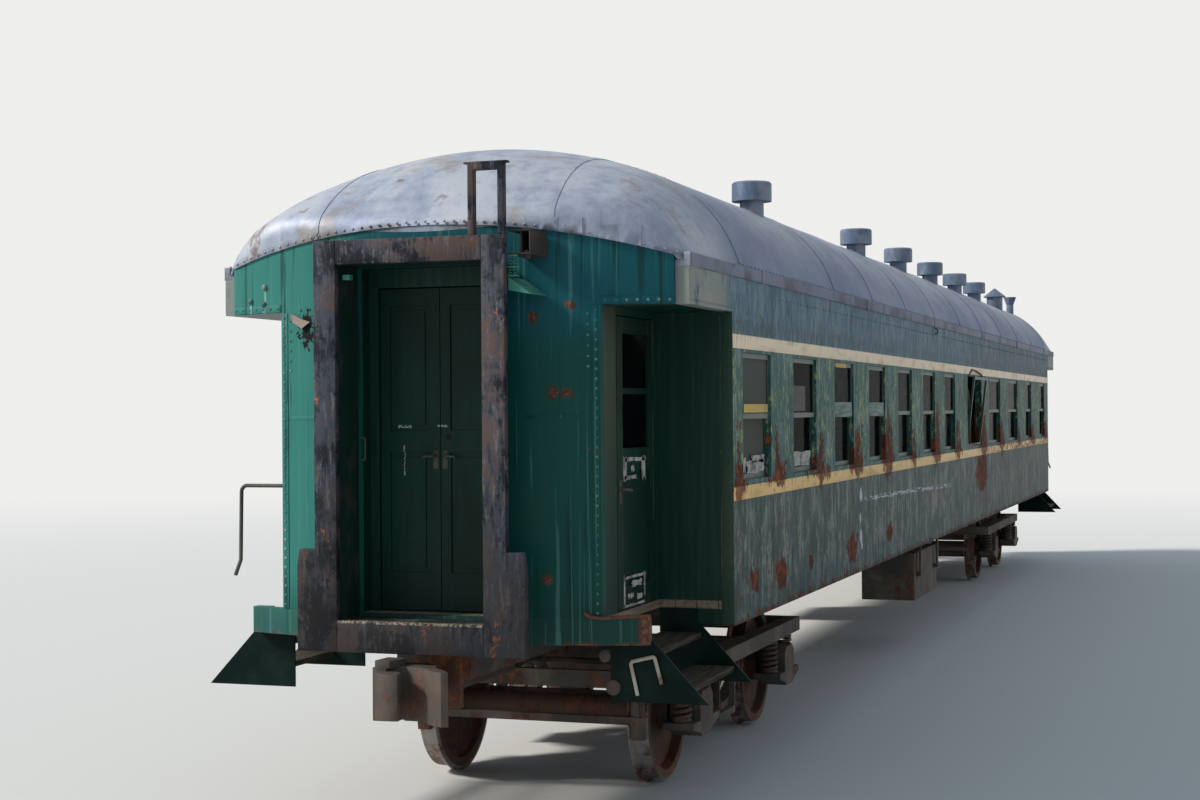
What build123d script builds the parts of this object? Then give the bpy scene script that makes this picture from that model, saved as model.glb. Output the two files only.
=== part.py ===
# Passenger coach for standard gauge: riveted steel body with bowed ends, four recessed corner
# doorways, gangway frames and couplers at both ends, on two four-wheel bogies.
# Millimetres. X runs along the coach with the front end at -X, Y across it with the left side
# at -Y, and Z up from the flat floor that the wheel flanges stand on.
from build123d import *
import os
from math import asin, cos, sin, sqrt

# Wheels and bogies
FLANGE_DEPTH = 28.0
WHEEL_DIAMETER = 915.0
WHEEL_BACK_HALF = 676.5
RIM_WIDTH = 135.0
RIM_DEPTH = 62.0
JOURNAL_RADIUS = 60.0
AXLE_RADIUS = 80.0
HUB_RADIUS = 128.0
JOURNAL_CENTRE = 978.0
AXLE_BOX_LENGTH = 210.0
AXLE_BOX_HALF = 150.0
WHEELBASE = 2400.0
BOGIE_CENTRES = 15400.0
BOGIE_FRAME_OVERHANG = 560.0
SIDE_BEAM_WIDTH = 120.0
SIDE_BEAM_DEPTH = 110.0
AXLE_SPRING_OFFSET = 232.0
AXLE_SPRING_RADIUS = 68.0
AXLE_SPRING_HEIGHT = 250.0
WING_THICKNESS = 40.0
WING_MARGIN = 12.0
AXLE_BOX_CORNER = 50.0
JOURNAL_END = 84.0
END_BEAM_WIDTH = 60.0
TRANSOM_DROP = 40.0
BOLSTER_HALF_LENGTH = 180.0
BOLSTER_HALF_WIDTH = 900.0
BOLSTER_DEPTH = 160.0
TRANSOM_GAP = 40.0
TRANSOM_WIDTH = 80.0
PLANK_THICKNESS = 50.0
PLANK_HANGER_THICKNESS = 20.0
PLANK_HANGER_WIDTH = 40.0
LEAF_SPRING_HALF_LENGTH = 450.0
LEAF_SPRING_HEIGHT = 340.0
LEAF_PACK = 48.0
LEAF_SPRING_WIDTH = 95.0
LEAF_SPRING_MARGIN = 40.0
LEAF_SPRING_SPACE = 20.0
LEAF_BAND_HALF_LENGTH = 45.0
LEAF_BAND_DEPTH = 52.0
SHOE_CLEARANCE = 8.0
SHOE_THICKNESS = 48.0
SHOE_WIDTH = 84.0
SHOE_FROM_BACK = 38.0
SHOE_HALF_HEIGHT = 130.0
BRAKE_BEAM_WIDTH = 34.0
BRAKE_BEAM_DEPTH = 50.0
BRAKE_BEAM_LAP = 4.0
BRAKE_HANGER_THICKNESS = 20.0
BRAKE_HANGER_WIDTH = 36.0
HANGER_BAR_RADIUS = 22.0
HANGER_BAR_RISE = 20.0
CENTRE_PLATE_RADIUS = 190.0
CENTRE_PLATE_HEIGHT = 60.0

# Body outline, heights above the rail
CORNER_HALF_LENGTH = 10685.0
END_BOW = 302.0
BODY_HALF_WIDTH = 1502.0
SIDE_BOTTOM = 1130.0
FLOOR_LEVEL = 1283.0
WINDOW_BOTTOM = 2020.0
WINDOW_HEIGHT = 810.0
DOOR_HEAD = 3075.0
WALL_TOP = 3295.0
CANTRAIL_HEIGHT = 35.0
ROOF_RIDGE = 4160.0
CROWN_HALF_WIDTH = 970.0
SHOULDER_SHARE = 0.767
DOME_LENGTH = 2147.0
DOME_TIP_RISE = 231.0
DOME_SPANS = 5
DOME_SHOULDER_POWER = 4.08
DOME_NOSE_POWER = 1.153
DOME_EDGE_RADIUS = 150.0
SKIRT_RISE = 225.0
ROOF_OVERHANG = 12.0
ROOF_SEAM_Y = 800.0

# Body plates
SIDE_WALL_THICKNESS = 80.0
END_WALL_THICKNESS = 60.0
ROOF_THICKNESS = 60.0
BULKHEAD_THICKNESS = 60.0
RETURN_THICKNESS = 30.0
FLOOR_THICKNESS = 50.0
SOFFIT_THICKNESS = 30.0
POST_THICKNESS = 60.0
CORNICE_HEIGHT = 80.0
CORNICE_PROUD = 6.0
CORNICE_WEB = 30.0
SEAM_GAP = 0.3

# Doorways
RECESS_LENGTH = 950.0
RECESS_DEPTH = 482.0
CORNER_POST_LENGTH = 222.0
DOOR_THICKNESS = 36.0
DOOR_LIFT = 10.0
DOOR_HEAD_GAP = 8.0
HINGE_POST_WIDTH = 99.0
BARREL_RADIUS = 10.0
BARREL_HEIGHT = 60.0
BARREL_STANDOFF = 12.0
BARREL_GAP = 0.3
HINGE_STRAP_HALF = 8.0
LEAF_HINGE_LAP = 4.0
LEAF_FREE_GAP = 12.0
HINGE_GAP = 8.0
HINGE_LEVELS = (300.0, 1400.0)
SIDE_DOOR_HEAD = 45.0
SIDE_DOOR_STILE = 105.0
SIDE_DOOR_GLASS_SILL = 960.0
SIDE_DOOR_GLASS_DROP = 150.0
SIDE_DOOR_BAR = 36.0
SIDE_DOOR_RAIL = 130.0
SIDE_DOOR_SINK = 9.0
DOOR_GLASS_THICKNESS = 6.0
END_DOOR_RECESS = 190.0
END_DOOR_HALF_WIDTH = 395.0
END_DOOR_TOP = 3200.0
END_DOOR_MEETING_GAP = 2.5
END_DOOR_STILE = 62.0
END_DOOR_BEVEL = 35.0
END_DOOR_SINK = 12.0
END_DOOR_FIELD_SINK = 3.0
END_DOOR_PANELS = ((1515.0, 2230.0), (2356.0, 3100.0))
END_JAMB_WIDTH = 75.0
END_JAMB_DEPTH = 70.0
BULKHEAD_DOOR_HALF_WIDTH = 375.0
BULKHEAD_DOOR_HEIGHT = 1900.0

# Gangway
GANGWAY_REACH = 270.0
GANGWAY_PLATE = 50.0
GANGWAY_HALF_WIDTH = 595.0
GANGWAY_BAR = 140.0
GANGWAY_BOTTOM = 1090.0
GANGWAY_TOP = 3460.0
GANGWAY_FOOT_HALF_WIDTH = 710.0
GANGWAY_FOOT_TOP = 1680.0
GANGWAY_FOOT_CHAMFER = 100.0
GANGWAY_FOOT_SHOULDER = 15.0
GANGWAY_SILL = 180.0
LINING_THICKNESS = 20.0
LOOP_INNER = 376.0
LOOP_OUTER = 593.0
LOOP_HEIGHT = 400.0
LOOP_BAR = 36.0
LOOP_DEPTH = 50.0
LOOP_CAP_LAP = 24.0
LOOP_CAP_THICKNESS = 12.0

# Underframe, couplers and equipment
SILL_WIDTH = 75.0
CENTRE_SILL_DEPTH = 320.0
CENTRE_SILL_OUT = 235.0
CENTRE_SILL_WEB = 70.0
BEARER_COUNT = 9
BEARER_TO_BOGIE = 2300.0
BEARER_THICKNESS = 40.0
BEARER_TIP_DEPTH = 90.0
BEARER_DEPTH = 240.0
HEADSTOCK_BOTTOM = 1127.0
HEADSTOCK_INSET = 232.0
STEP_PAD_WIDTH = 110.0
STEP_PAD_LENGTH = 60.0
STRIKER_HALF_WIDTH = 190.0
STRIKER_BOTTOM = 750.0
STRIKER_CLEARANCE = 25.0
BODY_BOLSTER_HALF_LENGTH = 230.0
BODY_BOLSTER_TAPER = 350.0
COUPLER_HEIGHT = 880.0
COUPLER_REACH = 515.0
COUPLER_SHANK = 130.0
COUPLER_YOKE_START = 1100.0
COUPLER_YOKE_LENGTH = 200.0
COUPLER_YOKE_LIFT = 40.0
COUPLER_HEAD_HALF_HEIGHT = 150.0
COUPLER_LUG_HEIGHT = 40.0
KNUCKLE_HALF_HEIGHT = 130.0
STEP_RISES = (885.0, 1085.0)
STEP_TREAD_DEPTH = 255.0
STEP_STAGGER = 210.0
STEP_TREAD_LAP = 2.0
STEP_PLATE_BOTTOM = 790.0
STEP_PLATE_KNEE = 1154.0
STEP_PLATE_REACH = 108.0
TREAD_THICKNESS = 35.0
STRINGER_THICKNESS = 12.0
RAIL_RADIUS = 12.0
RAIL_BEND = 40.0
RAIL_POINTS = ((375.0, 2020.0), (384.0, 1560.0), (422.0, 1464.0))
BATTERY_BOX_START = 500.0
BATTERY_BOX_LENGTH = 1400.0
BATTERY_BOX_DEPTH = 480.0
BATTERY_BOX_INNER = 760.0
BATTERY_HANGER = 60.0
BATTERY_HANGER_THICKNESS = 20.0
BATTERY_STANDOFF = 47.0
TANK_RADIUS = 190.0
TANK_LENGTH = 1100.0
TANK_Y = 620.0
TANK_DROP = 330.0
TANK_STRAP = 50.0
TANK_BEARER_SPACES = 1.5

# Interior
SEAT_BACK_HEIGHT = 1080.0
SEAT_HEIGHT = 430.0
SEAT_DEPTH = 430.0
SEAT_PAD = 110.0
SEAT_BACK_THICKNESS = 90.0
AISLE_HALF_WIDTH = 330.0
RACK_LEVEL = 1640.0
RACK_DEPTH = 360.0
RACK_THICKNESS = 30.0

# Roof fittings
VENTILATOR_Y = 1000.0
VENTILATOR_TOP = 4175.0
CAP_RADIUS = 150.0
CAP_HEIGHT = 145.0
CAP_EDGE = 12.0
STEM_RADIUS = 90.0
CHIMNEY_TOP = 4225.0
CHIMNEY_RADIUS = 115.0
CHIMNEY_HAT_RADIUS = 160.0
CHIMNEY_HAT_HEIGHT = 130.0
FUNNEL_TOP = 4200.0
FUNNEL_STEM_RADIUS = 55.0
FUNNEL_RADIUS = 95.0
FUNNEL_HEIGHT = 120.0

# Sash and glass
SASH_BAR = 34.0
SASH_THICKNESS = 24.0
SASH_INSET = 14.0
GLASS_THICKNESS = 5.0

# Side windows from the front, both sides alike: widths, and the spaces between their middles
# as shares of the narrow space
WINDOW_WIDTHS = (740.0,) * 7 + (1180.0, 1120.0, 1080.0, 740.0, 740.0)
WINDOW_SPACES = (1.0,) * 6 + (1.394, 1.309, 1.394, 1.387, 1.344)
FRONT_WINDOW_MARGIN = 615.0
REAR_WINDOW_MARGIN = 915.0
BROKEN_WINDOW = 7
BROKEN_SASH_GAP = 45.0
BROKEN_SASH_LEAN = 6.5

# Roof ventilators on each shoulder, chimney and funnel on the left one, as x
VENTILATORS = (-7260.0, -3270.0, -980.0, 1150.0, 3130.0, 4940.0)
CHIMNEY_X = 7150.0
FUNNEL_X = 9050.0

# Coupler seen from above, as (distance back from the tip, y)
COUPLER_OUTLINE = (
    (360.0, -65.0), (300.0, -140.0), (190.0, -190.0), (90.0, -290.0), (25.0, -335.0), (5.0, -300.0),
    (60.0, -210.0), (150.0, -120.0), (190.0, 0.0), (175.0, 70.0), (110.0, 80.0), (110.0, 165.0),
    (300.0, 150.0), (360.0, 65.0),
)
COUPLER_LUG_OUTLINE = ((110.0, 60.0), (110.0, 150.0), (260.0, 140.0), (260.0, 30.0), (180.0, 30.0))
KNUCKLE_OUTLINE = (
    (109.7, 78.0), (150.0, 60.0), (120.0, 10.0), (70.0, -30.0), (10.0, -35.0), (0.0, 0.0),
    (12.0, 60.0), (40.0, 120.0), (109.7, 150.0),
)

# Worked out from the sizes above, heights now above the floor
BODY_END = CORNER_HALF_LENGTH + END_BOW
BOW_RADIUS = (BODY_HALF_WIDTH ** 2 + END_BOW ** 2) / (2 * END_BOW)
AXLE_Z = FLANGE_DEPTH + WHEEL_DIAMETER / 2
FLOOR_Z = FLANGE_DEPTH + FLOOR_LEVEL
SIDE_BOTTOM_Z = FLANGE_DEPTH + SIDE_BOTTOM
WALL_TOP_Z = FLANGE_DEPTH + WALL_TOP
EAVE_Z = WALL_TOP_Z + CANTRAIL_HEIGHT
ROOF_RISE = FLANGE_DEPTH + ROOF_RIDGE - EAVE_Z
DOOR_HEAD_Z = FLANGE_DEPTH + DOOR_HEAD
WINDOW_Z = FLANGE_DEPTH + WINDOW_BOTTOM
UPPER_SASH_Y = -BODY_HALF_WIDTH + SASH_INSET
LOWER_SASH_Y = UPPER_SASH_Y + SASH_THICKNESS
RECESS_X = CORNER_HALF_LENGTH - RECESS_LENGTH
VESTIBULE_HALF_WIDTH = BODY_HALF_WIDTH - RECESS_DEPTH
INNER_HALF_WIDTH = BODY_HALF_WIDTH - SIDE_WALL_THICKNESS
BOGIE_X = BOGIE_CENTRES / 2
WING_TOP_Z = AXLE_Z - WING_THICKNESS
SIDE_BEAM_Z = WING_TOP_Z + AXLE_SPRING_HEIGHT
SIDE_BEAM_Y = JOURNAL_CENTRE - SIDE_BEAM_WIDTH / 2
BOGIE_HALF_LENGTH = WHEELBASE / 2 + BOGIE_FRAME_OVERHANG
BOLSTER_TOP_Z = SIDE_BEAM_Z + SIDE_BEAM_DEPTH
CENTRE_PLATE_Z = BOLSTER_TOP_Z + CENTRE_PLATE_HEIGHT
FLOOR_UNDER_Z = FLOOR_Z - FLOOR_THICKNESS
CENTRE_SILL_Z = FLOOR_UNDER_Z - CENTRE_SILL_DEPTH
HEADSTOCK_Z = FLANGE_DEPTH + HEADSTOCK_BOTTOM
HEADSTOCK_HALF_WIDTH = BODY_HALF_WIDTH - HEADSTOCK_INSET
COUPLER_Z = FLANGE_DEPTH + COUPLER_HEIGHT
GANGWAY_FACE = BODY_END + GANGWAY_REACH
GANGWAY_INNER = GANGWAY_HALF_WIDTH - GANGWAY_BAR
GANGWAY_SILL_Z = FLANGE_DEPTH + GANGWAY_BOTTOM + GANGWAY_SILL
GANGWAY_HEAD_Z = FLANGE_DEPTH + GANGWAY_TOP - GANGWAY_BAR


def block(x0, x1, y0, y1, z0, z1):
    """Rectangular block between two opposite corners."""
    size = Box(abs(x1 - x0), abs(y1 - y0), abs(z1 - z0))
    return Pos((x0 + x1) / 2, (y0 + y1) / 2, (z0 + z1) / 2) * size


def prism_along_x(points, x0, x1):
    """Outline of (y, z) points carried along X."""
    plane = Plane(origin=(x0, 0, 0), x_dir=(0, 1, 0), z_dir=(1, 0, 0))
    return extrude(plane * Polygon(*points, align=None), amount=x1 - x0, dir=(1, 0, 0))


def prism_along_y(points, y0, y1):
    """Outline of (x, z) points carried along Y."""
    plane = Plane(origin=(0, y0, 0), x_dir=(1, 0, 0), z_dir=(0, -1, 0))
    return extrude(plane * Polygon(*points, align=None), amount=y1 - y0, dir=(0, 1, 0))


def prism_along_z(points, z0, z1):
    """Outline of (x, y) points carried along Z."""
    return Pos(0, 0, z0) * extrude(Polygon(*points, align=None), amount=z1 - z0, dir=(0, 0, 1))


def rod_along_y(x, z, radius, y0, y1):
    """Round bar across the coach."""
    return Pos(x, (y0 + y1) / 2, z) * Rot(90, 0, 0) * Cylinder(radius, y1 - y0)


def post(x, y, radius, z0, z1):
    """Round upright."""
    return Pos(x, y, (z0 + z1) / 2) * Cylinder(radius, z1 - z0)


def to_rear(shape):
    """The same piece at the rear end."""
    return mirror(shape, about=Plane.YZ)


def to_right(shape):
    """The same piece on the right side."""
    return mirror(shape, about=Plane.XZ)


def both_sides(shape):
    """A left piece with its twin on the right."""
    return [shape, to_right(shape)]


def save(name, shapes):
    """Write one node, its solids kept apart."""
    solids = []
    for shape in shapes if isinstance(shapes, (list, tuple)) else [shapes]:
        solids.extend(shape.solids())
    whole = Compound(label=name, children=solids) if len(solids) > 1 else solids[0]
    export_step(whole, os.path.join("parts", name + ".step"))


def bow_x(y, inset=0.0):
    """Distance of the bowed end from the middle of the coach, at y across it."""
    return BODY_END - BOW_RADIUS + sqrt((BOW_RADIUS - inset) ** 2 - y ** 2)


def body_plan(inset, z0, z1):
    """The body's outline from above, set in all round, carried from z0 to z1."""
    width = BODY_HALF_WIDTH - inset
    corner = bow_x(width, inset)
    tip = BODY_END - inset
    outline = [
        ThreePointArc((-corner, -width), (-tip, 0), (-corner, width)),
        Line((-corner, width), (corner, width)),
        ThreePointArc((corner, width), (tip, 0), (corner, -width)),
        Line((corner, -width), (-corner, -width)),
    ]
    return Pos(0, 0, z0) * extrude(make_face(outline), amount=z1 - z0, dir=(0, 0, 1))


def bowed_plate(thickness, half_width, z0, z1):
    """Upright plate that follows the front end's bow."""
    middle = Pos(BOW_RADIUS - BODY_END, 0, (z0 + z1) / 2)
    plate = middle * (Cylinder(BOW_RADIUS, z1 - z0) - Cylinder(BOW_RADIUS - thickness, z1 - z0 + 2))
    return plate & block(-BODY_END - 1, -RECESS_X, -half_width, half_width, z0, z1)


# Roof

def arch_face(x, inset, rise):
    """Roof section at x: a crown arc and a tangent arc down to each eave."""
    width = BODY_HALF_WIDTH - inset
    shoulder = CROWN_HALF_WIDTH - inset
    level = rise * SHOULDER_SHARE
    sagitta = rise - level
    crown_radius = (shoulder ** 2 + sagitta ** 2) / (2 * sagitta)
    slope = asin(shoulder / crown_radius)
    outline = [
        ThreePointArc((-shoulder, level), (0, rise), (shoulder, level)),
        TangentArc((shoulder, level), (width, 0), tangent=(cos(slope), -sin(slope))),
        Line((width, 0), (-width, 0)),
        TangentArc((-shoulder, level), (-width, 0), tangent=(-cos(slope), -sin(slope))),
    ]
    plane = Plane(origin=(x, 0, EAVE_Z), x_dir=(0, 1, 0), z_dir=(1, 0, 0))
    return plane * make_face(outline)


def dome_rise(share):
    """Height of the roof's middle over the eaves, at a share of the dome's length."""
    fall = (1 - share ** DOME_SHOULDER_POWER) ** (1 / DOME_NOSE_POWER)
    return DOME_TIP_RISE + (ROOF_RISE - DOME_TIP_RISE) * fall


def roof_envelope(inset):
    """Everything under the roof's surface, or under a surface set in from it."""
    dome_start = BODY_END + ROOF_OVERHANG - DOME_LENGTH
    barrel = extrude(arch_face(-dome_start, inset, ROOF_RISE - inset), amount=2 * dome_start, dir=(1, 0, 0))
    sections = []
    for step in range(DOME_SPANS + 1):
        share = step / DOME_SPANS
        sections.append(arch_face(-dome_start - share * DOME_LENGTH, inset, dome_rise(share) - inset))
    dome = loft(sections)
    return barrel + dome + to_rear(dome)


def dome_edges(shape):
    """The edges where the domes meet the bowed ends."""
    edges = []
    for edge in shape.edges():
        middle = edge.center()
        beyond_corner = abs(middle.X) > CORNER_HALF_LENGTH
        above_eave = middle.Z > EAVE_Z + 1
        if beyond_corner and above_eave and edge.length > DOME_EDGE_RADIUS:
            edges.append(edge)
    return edges


def make_roof(outer, inner):
    """Roof turned down over the bowed ends, with its cantrails and cornices, parted at its seams."""
    top = EAVE_Z + 2 * ROOF_RISE
    whole = outer & body_plan(-ROOF_OVERHANG, EAVE_Z, top)
    whole = fillet(dome_edges(whole), DOME_EDGE_RADIUS)
    plan = body_plan(0, EAVE_Z - 1, top)
    wide = BODY_HALF_WIDTH + ROOF_OVERHANG
    arc = make_face([ThreePointArc((-wide, 0), (0, SKIRT_RISE), (wide, 0)), Line((wide, 0), (-wide, 0))])
    plane = Plane(origin=(-BODY_END - 2 * ROOF_OVERHANG, 0, EAVE_Z), x_dir=(0, 1, 0), z_dir=(1, 0, 0))
    under_skirt = extrude(plane * arc, amount=END_BOW + 2 * ROOF_OVERHANG, dir=(1, 0, 0)) - plan
    shell = whole - (inner & plan) - under_skirt - to_rear(under_skirt)
    half = CORNER_HALF_LENGTH
    rail = block(-half, half, -BODY_HALF_WIDTH, -INNER_HALF_WIDTH, WALL_TOP_Z, EAVE_Z)
    lip_z = EAVE_Z + CORNICE_HEIGHT - CANTRAIL_HEIGHT
    lip = block(-half, half, -BODY_HALF_WIDTH - CORNICE_PROUD, -BODY_HALF_WIDTH, WALL_TOP_Z, lip_z)
    web = block(-half, half, -BODY_HALF_WIDTH, -BODY_HALF_WIDTH + CORNICE_WEB, EAVE_Z, lip_z) - inner
    edge = rail + lip + web
    roof = shell + edge + to_right(edge)
    length = BODY_END + 2 * ROOF_OVERHANG
    lap = SEAM_GAP / 2
    seam_x = RECESS_X - BULKHEAD_THICKNESS / 2
    for y in (-ROOF_SEAM_Y, ROOF_SEAM_Y):
        roof -= block(-length, length, y - lap, y + lap, WALL_TOP_Z - 1, top)
    for x in (-seam_x, seam_x):
        roof -= block(x - lap, x + lap, -wide, wide, WALL_TOP_Z - 1, top)
    return roof


# Side walls

def window_table():
    """Each side window's (middle x, width), shared out between the vestibules."""
    length = 2 * RECESS_X - FRONT_WINDOW_MARGIN - REAR_WINDOW_MARGIN
    narrow = length / sum(WINDOW_SPACES)
    middle = FRONT_WINDOW_MARGIN - RECESS_X
    table = [(middle, WINDOW_WIDTHS[0])]
    for share, width in zip(WINDOW_SPACES, WINDOW_WIDTHS[1:]):
        middle += share * narrow
        table.append((middle, width))
    return table


def make_side_wall(windows):
    """Left wall: panel under the windows, the posts between them, the strip over them, the fascia."""
    half = CORNER_HALF_LENGTH
    y0 = -BODY_HALF_WIDTH
    y1 = -INNER_HALF_WIDTH
    head = WINDOW_Z + WINDOW_HEIGHT
    wall = [
        block(-RECESS_X, RECESS_X, y0, y1, SIDE_BOTTOM_Z, WINDOW_Z - SEAM_GAP),
        block(-RECESS_X, RECESS_X, y0, y1, head + SEAM_GAP, DOOR_HEAD_Z - SEAM_GAP),
        block(-half, half, y0, y1, DOOR_HEAD_Z, WALL_TOP_Z),
    ]
    start = -RECESS_X
    for middle, width in windows:
        wall.append(block(start, middle - width / 2, y0, y1, WINDOW_Z, head))
        start = middle + width / 2
    wall.append(block(start, RECESS_X, y0, y1, WINDOW_Z, head))
    return wall


def sash_frame(centre, width, z0, z1, y0):
    """One sash: a frame of four bars."""
    half = width / 2
    outer = block(centre - half, centre + half, y0, y0 + SASH_THICKNESS, z0, z1)
    hole = block(centre - half + SASH_BAR, centre + half - SASH_BAR, y0 - 1, y0 + SASH_THICKNESS + 1,
                 z0 + SASH_BAR, z1 - SASH_BAR)
    return outer - hole


def make_sash_pair(middle, width):
    """Upper sash outside, lower sash behind it, their meeting rails overlapping in height."""
    meeting = WINDOW_Z + WINDOW_HEIGHT / 2
    top = sash_frame(middle, width, meeting - SASH_BAR / 2, WINDOW_Z + WINDOW_HEIGHT, UPPER_SASH_Y)
    bottom = sash_frame(middle, width, WINDOW_Z, meeting + SASH_BAR / 2, LOWER_SASH_Y)
    return top + bottom


def make_broken_sash(middle, width):
    """The damaged window's one sash, without glass, leaning out at its head."""
    frame = sash_frame(0, width - 2 * BROKEN_SASH_GAP, 0, WINDOW_HEIGHT, 0)
    return Pos(middle, UPPER_SASH_Y, WINDOW_Z) * Rot(BROKEN_SASH_LEAN, 0, 0) * frame


def make_glass_pair(middle, width):
    """A pane in each sash of one window."""
    meeting = WINDOW_Z + WINDOW_HEIGHT / 2
    half = width / 2 - SASH_BAR
    panes = []
    for plane, z0, z1 in (
        (UPPER_SASH_Y, meeting + SASH_BAR / 2, WINDOW_Z + WINDOW_HEIGHT - SASH_BAR),
        (LOWER_SASH_Y, WINDOW_Z + SASH_BAR, meeting - SASH_BAR / 2),
    ):
        y0 = plane + (SASH_THICKNESS - GLASS_THICKNESS) / 2
        panes.append(block(middle - half, middle + half, y0, y0 + GLASS_THICKNESS, z0, z1))
    return panes


# Ends

def hinge_axis_side():
    """Plan position of the front left side door's hinge."""
    x = -(RECESS_X + HINGE_POST_WIDTH + HINGE_GAP + LEAF_HINGE_LAP)
    y = -(VESTIBULE_HALF_WIDTH - DOOR_THICKNESS - BARREL_STANDOFF)
    return x, y


def hinge_axis_end():
    """Plan position of the front left end-door leaf's hinge."""
    x = -(BODY_END - END_DOOR_RECESS - DOOR_THICKNESS - BARREL_STANDOFF)
    y = -(END_DOOR_HALF_WIDTH - HINGE_GAP - LEAF_HINGE_LAP)
    return x, y


def hinge_lugs(x, y, turn):
    """Fixed halves of a door's hinges, with the arm that joins each to its post."""
    reach = HINGE_GAP + LEAF_HINGE_LAP
    lugs = []
    for level in HINGE_LEVELS:
        z1 = FLOOR_Z + level - BARREL_GAP
        z0 = z1 - BARREL_HEIGHT
        arm = block(-reach - 1, 0, -BARREL_RADIUS, BARREL_RADIUS, z0, z1)
        lugs.append(Pos(x, y, 0) * Rot(0, 0, turn) * (post(0, 0, BARREL_RADIUS, z0, z1) + arm))
    return lugs


def door_leaf(length, z0, z1):
    """A leaf with its hinge barrels, hinge axis on Z, running along +X with its face at +Y."""
    near = BARREL_STANDOFF
    far = BARREL_STANDOFF + DOOR_THICKNESS
    leaf = block(-LEAF_HINGE_LAP, length - LEAF_HINGE_LAP, near, far, z0, z1)
    for level in HINGE_LEVELS:
        base = FLOOR_Z + level
        strap = block(-HINGE_STRAP_HALF, HINGE_STRAP_HALF, 0, near + 1, base, base + BARREL_HEIGHT)
        leaf += post(0, 0, BARREL_RADIUS, base, base + BARREL_HEIGHT) + strap
    return leaf


def side_door_length():
    """Width of a side door's leaf, hinge edge to free edge."""
    far_post = bow_x(VESTIBULE_HALF_WIDTH, END_WALL_THICKNESS) - CORNER_POST_LENGTH
    return far_post - RECESS_X - HINGE_POST_WIDTH - HINGE_GAP - LEAF_FREE_GAP


def side_door_pane():
    """(u0, u1, z0, z1) of the glass opening in a side door."""
    u0 = SIDE_DOOR_STILE
    u1 = side_door_length() - SIDE_DOOR_STILE
    return u0, u1, FLOOR_Z + SIDE_DOOR_GLASS_SILL, DOOR_HEAD_Z - SIDE_DOOR_GLASS_DROP


def make_side_door():
    """Front left side door and its glass: a glazed upper half with a divider, a sunk panel below."""
    length = side_door_length()
    z0 = FLOOR_Z + DOOR_LIFT
    z1 = DOOR_HEAD_Z - SIDE_DOOR_HEAD - DOOR_HEAD_GAP
    leaf = door_leaf(length, z0, z1)
    u0, u1, g0, g1 = side_door_pane()
    near = BARREL_STANDOFF
    far = BARREL_STANDOFF + DOOR_THICKNESS
    bar0 = (g0 + g1 - SIDE_DOOR_BAR) / 2
    bar1 = bar0 + SIDE_DOOR_BAR
    sink = SIDE_DOOR_SINK
    leaf -= block(u0, u1, near - 1, far + 1, g0, g1)
    leaf += block(u0, u1, near + sink, far - sink, bar0, bar1)
    leaf -= block(u0, u1, far - sink, far + 1, z0 + SIDE_DOOR_RAIL, g0 - SIDE_DOOR_RAIL)
    middle = (near + far) / 2
    pane_half = DOOR_GLASS_THICKNESS / 2
    panes = []
    for p0, p1 in ((g0, bar0), (bar1, g1)):
        panes.append(block(u0, u1, middle - pane_half, middle + pane_half, p0, p1))
    x, y = hinge_axis_side()
    place = Pos(x, y, 0) * Rot(0, 0, 180)
    return place * leaf, [place * pane for pane in panes]


def make_end_leaf():
    """Front left leaf of the end door, with two raised-and-fielded panels."""
    length = END_DOOR_HALF_WIDTH - HINGE_GAP - END_DOOR_MEETING_GAP
    z0 = FLOOR_Z + DOOR_LIFT
    z1 = FLANGE_DEPTH + END_DOOR_TOP
    leaf = door_leaf(length, z0, z1)
    far = BARREL_STANDOFF + DOOR_THICKNESS
    u0 = END_DOOR_STILE - LEAF_HINGE_LAP
    u1 = length - LEAF_HINGE_LAP - END_DOOR_STILE
    sink = far - END_DOOR_SINK
    bevel = END_DOOR_BEVEL
    for p0, p1 in END_DOOR_PANELS:
        b0 = FLANGE_DEPTH + p0
        b1 = FLANGE_DEPTH + p1
        leaf -= block(u0, u1, sink, far + 1, b0, b1)
        leaf += block(u0 + bevel, u1 - bevel, sink - 1, far - END_DOOR_FIELD_SINK, b0 + bevel, b1 - bevel)
    x, y = hinge_axis_end()
    return Pos(x, y, 0) * Rot(0, 0, 90) * leaf


def end_sheet(inner, y0, y1, z0):
    """Bowed sheet of the front end between y0 and y1, from z0 up to the roof."""
    skin = bowed_plate(END_WALL_THICKNESS, INNER_HALF_WIDTH, z0, EAVE_Z + ROOF_RISE)
    lower = block(-BODY_END - 1, -RECESS_X, y0, y1, z0, EAVE_Z)
    upper = block(-BODY_END - 1, -RECESS_X, y0, y1, EAVE_Z, EAVE_Z + ROOF_RISE) & inner
    return skin & (lower + upper)


def make_end_wall(inner):
    """Front end: a sheet over the gangway, one at each side of it and a fascia over each doorway."""
    over = end_sheet(inner, -GANGWAY_INNER, GANGWAY_INNER, GANGWAY_HEAD_Z)
    beside = end_sheet(inner, -VESTIBULE_HALF_WIDTH, -GANGWAY_INNER - SEAM_GAP, FLOOR_Z)
    fascia = end_sheet(inner, -INNER_HALF_WIDTH, -VESTIBULE_HALF_WIDTH - SEAM_GAP, DOOR_HEAD_Z)
    return [over] + both_sides(beside) + both_sides(fascia)


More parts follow.
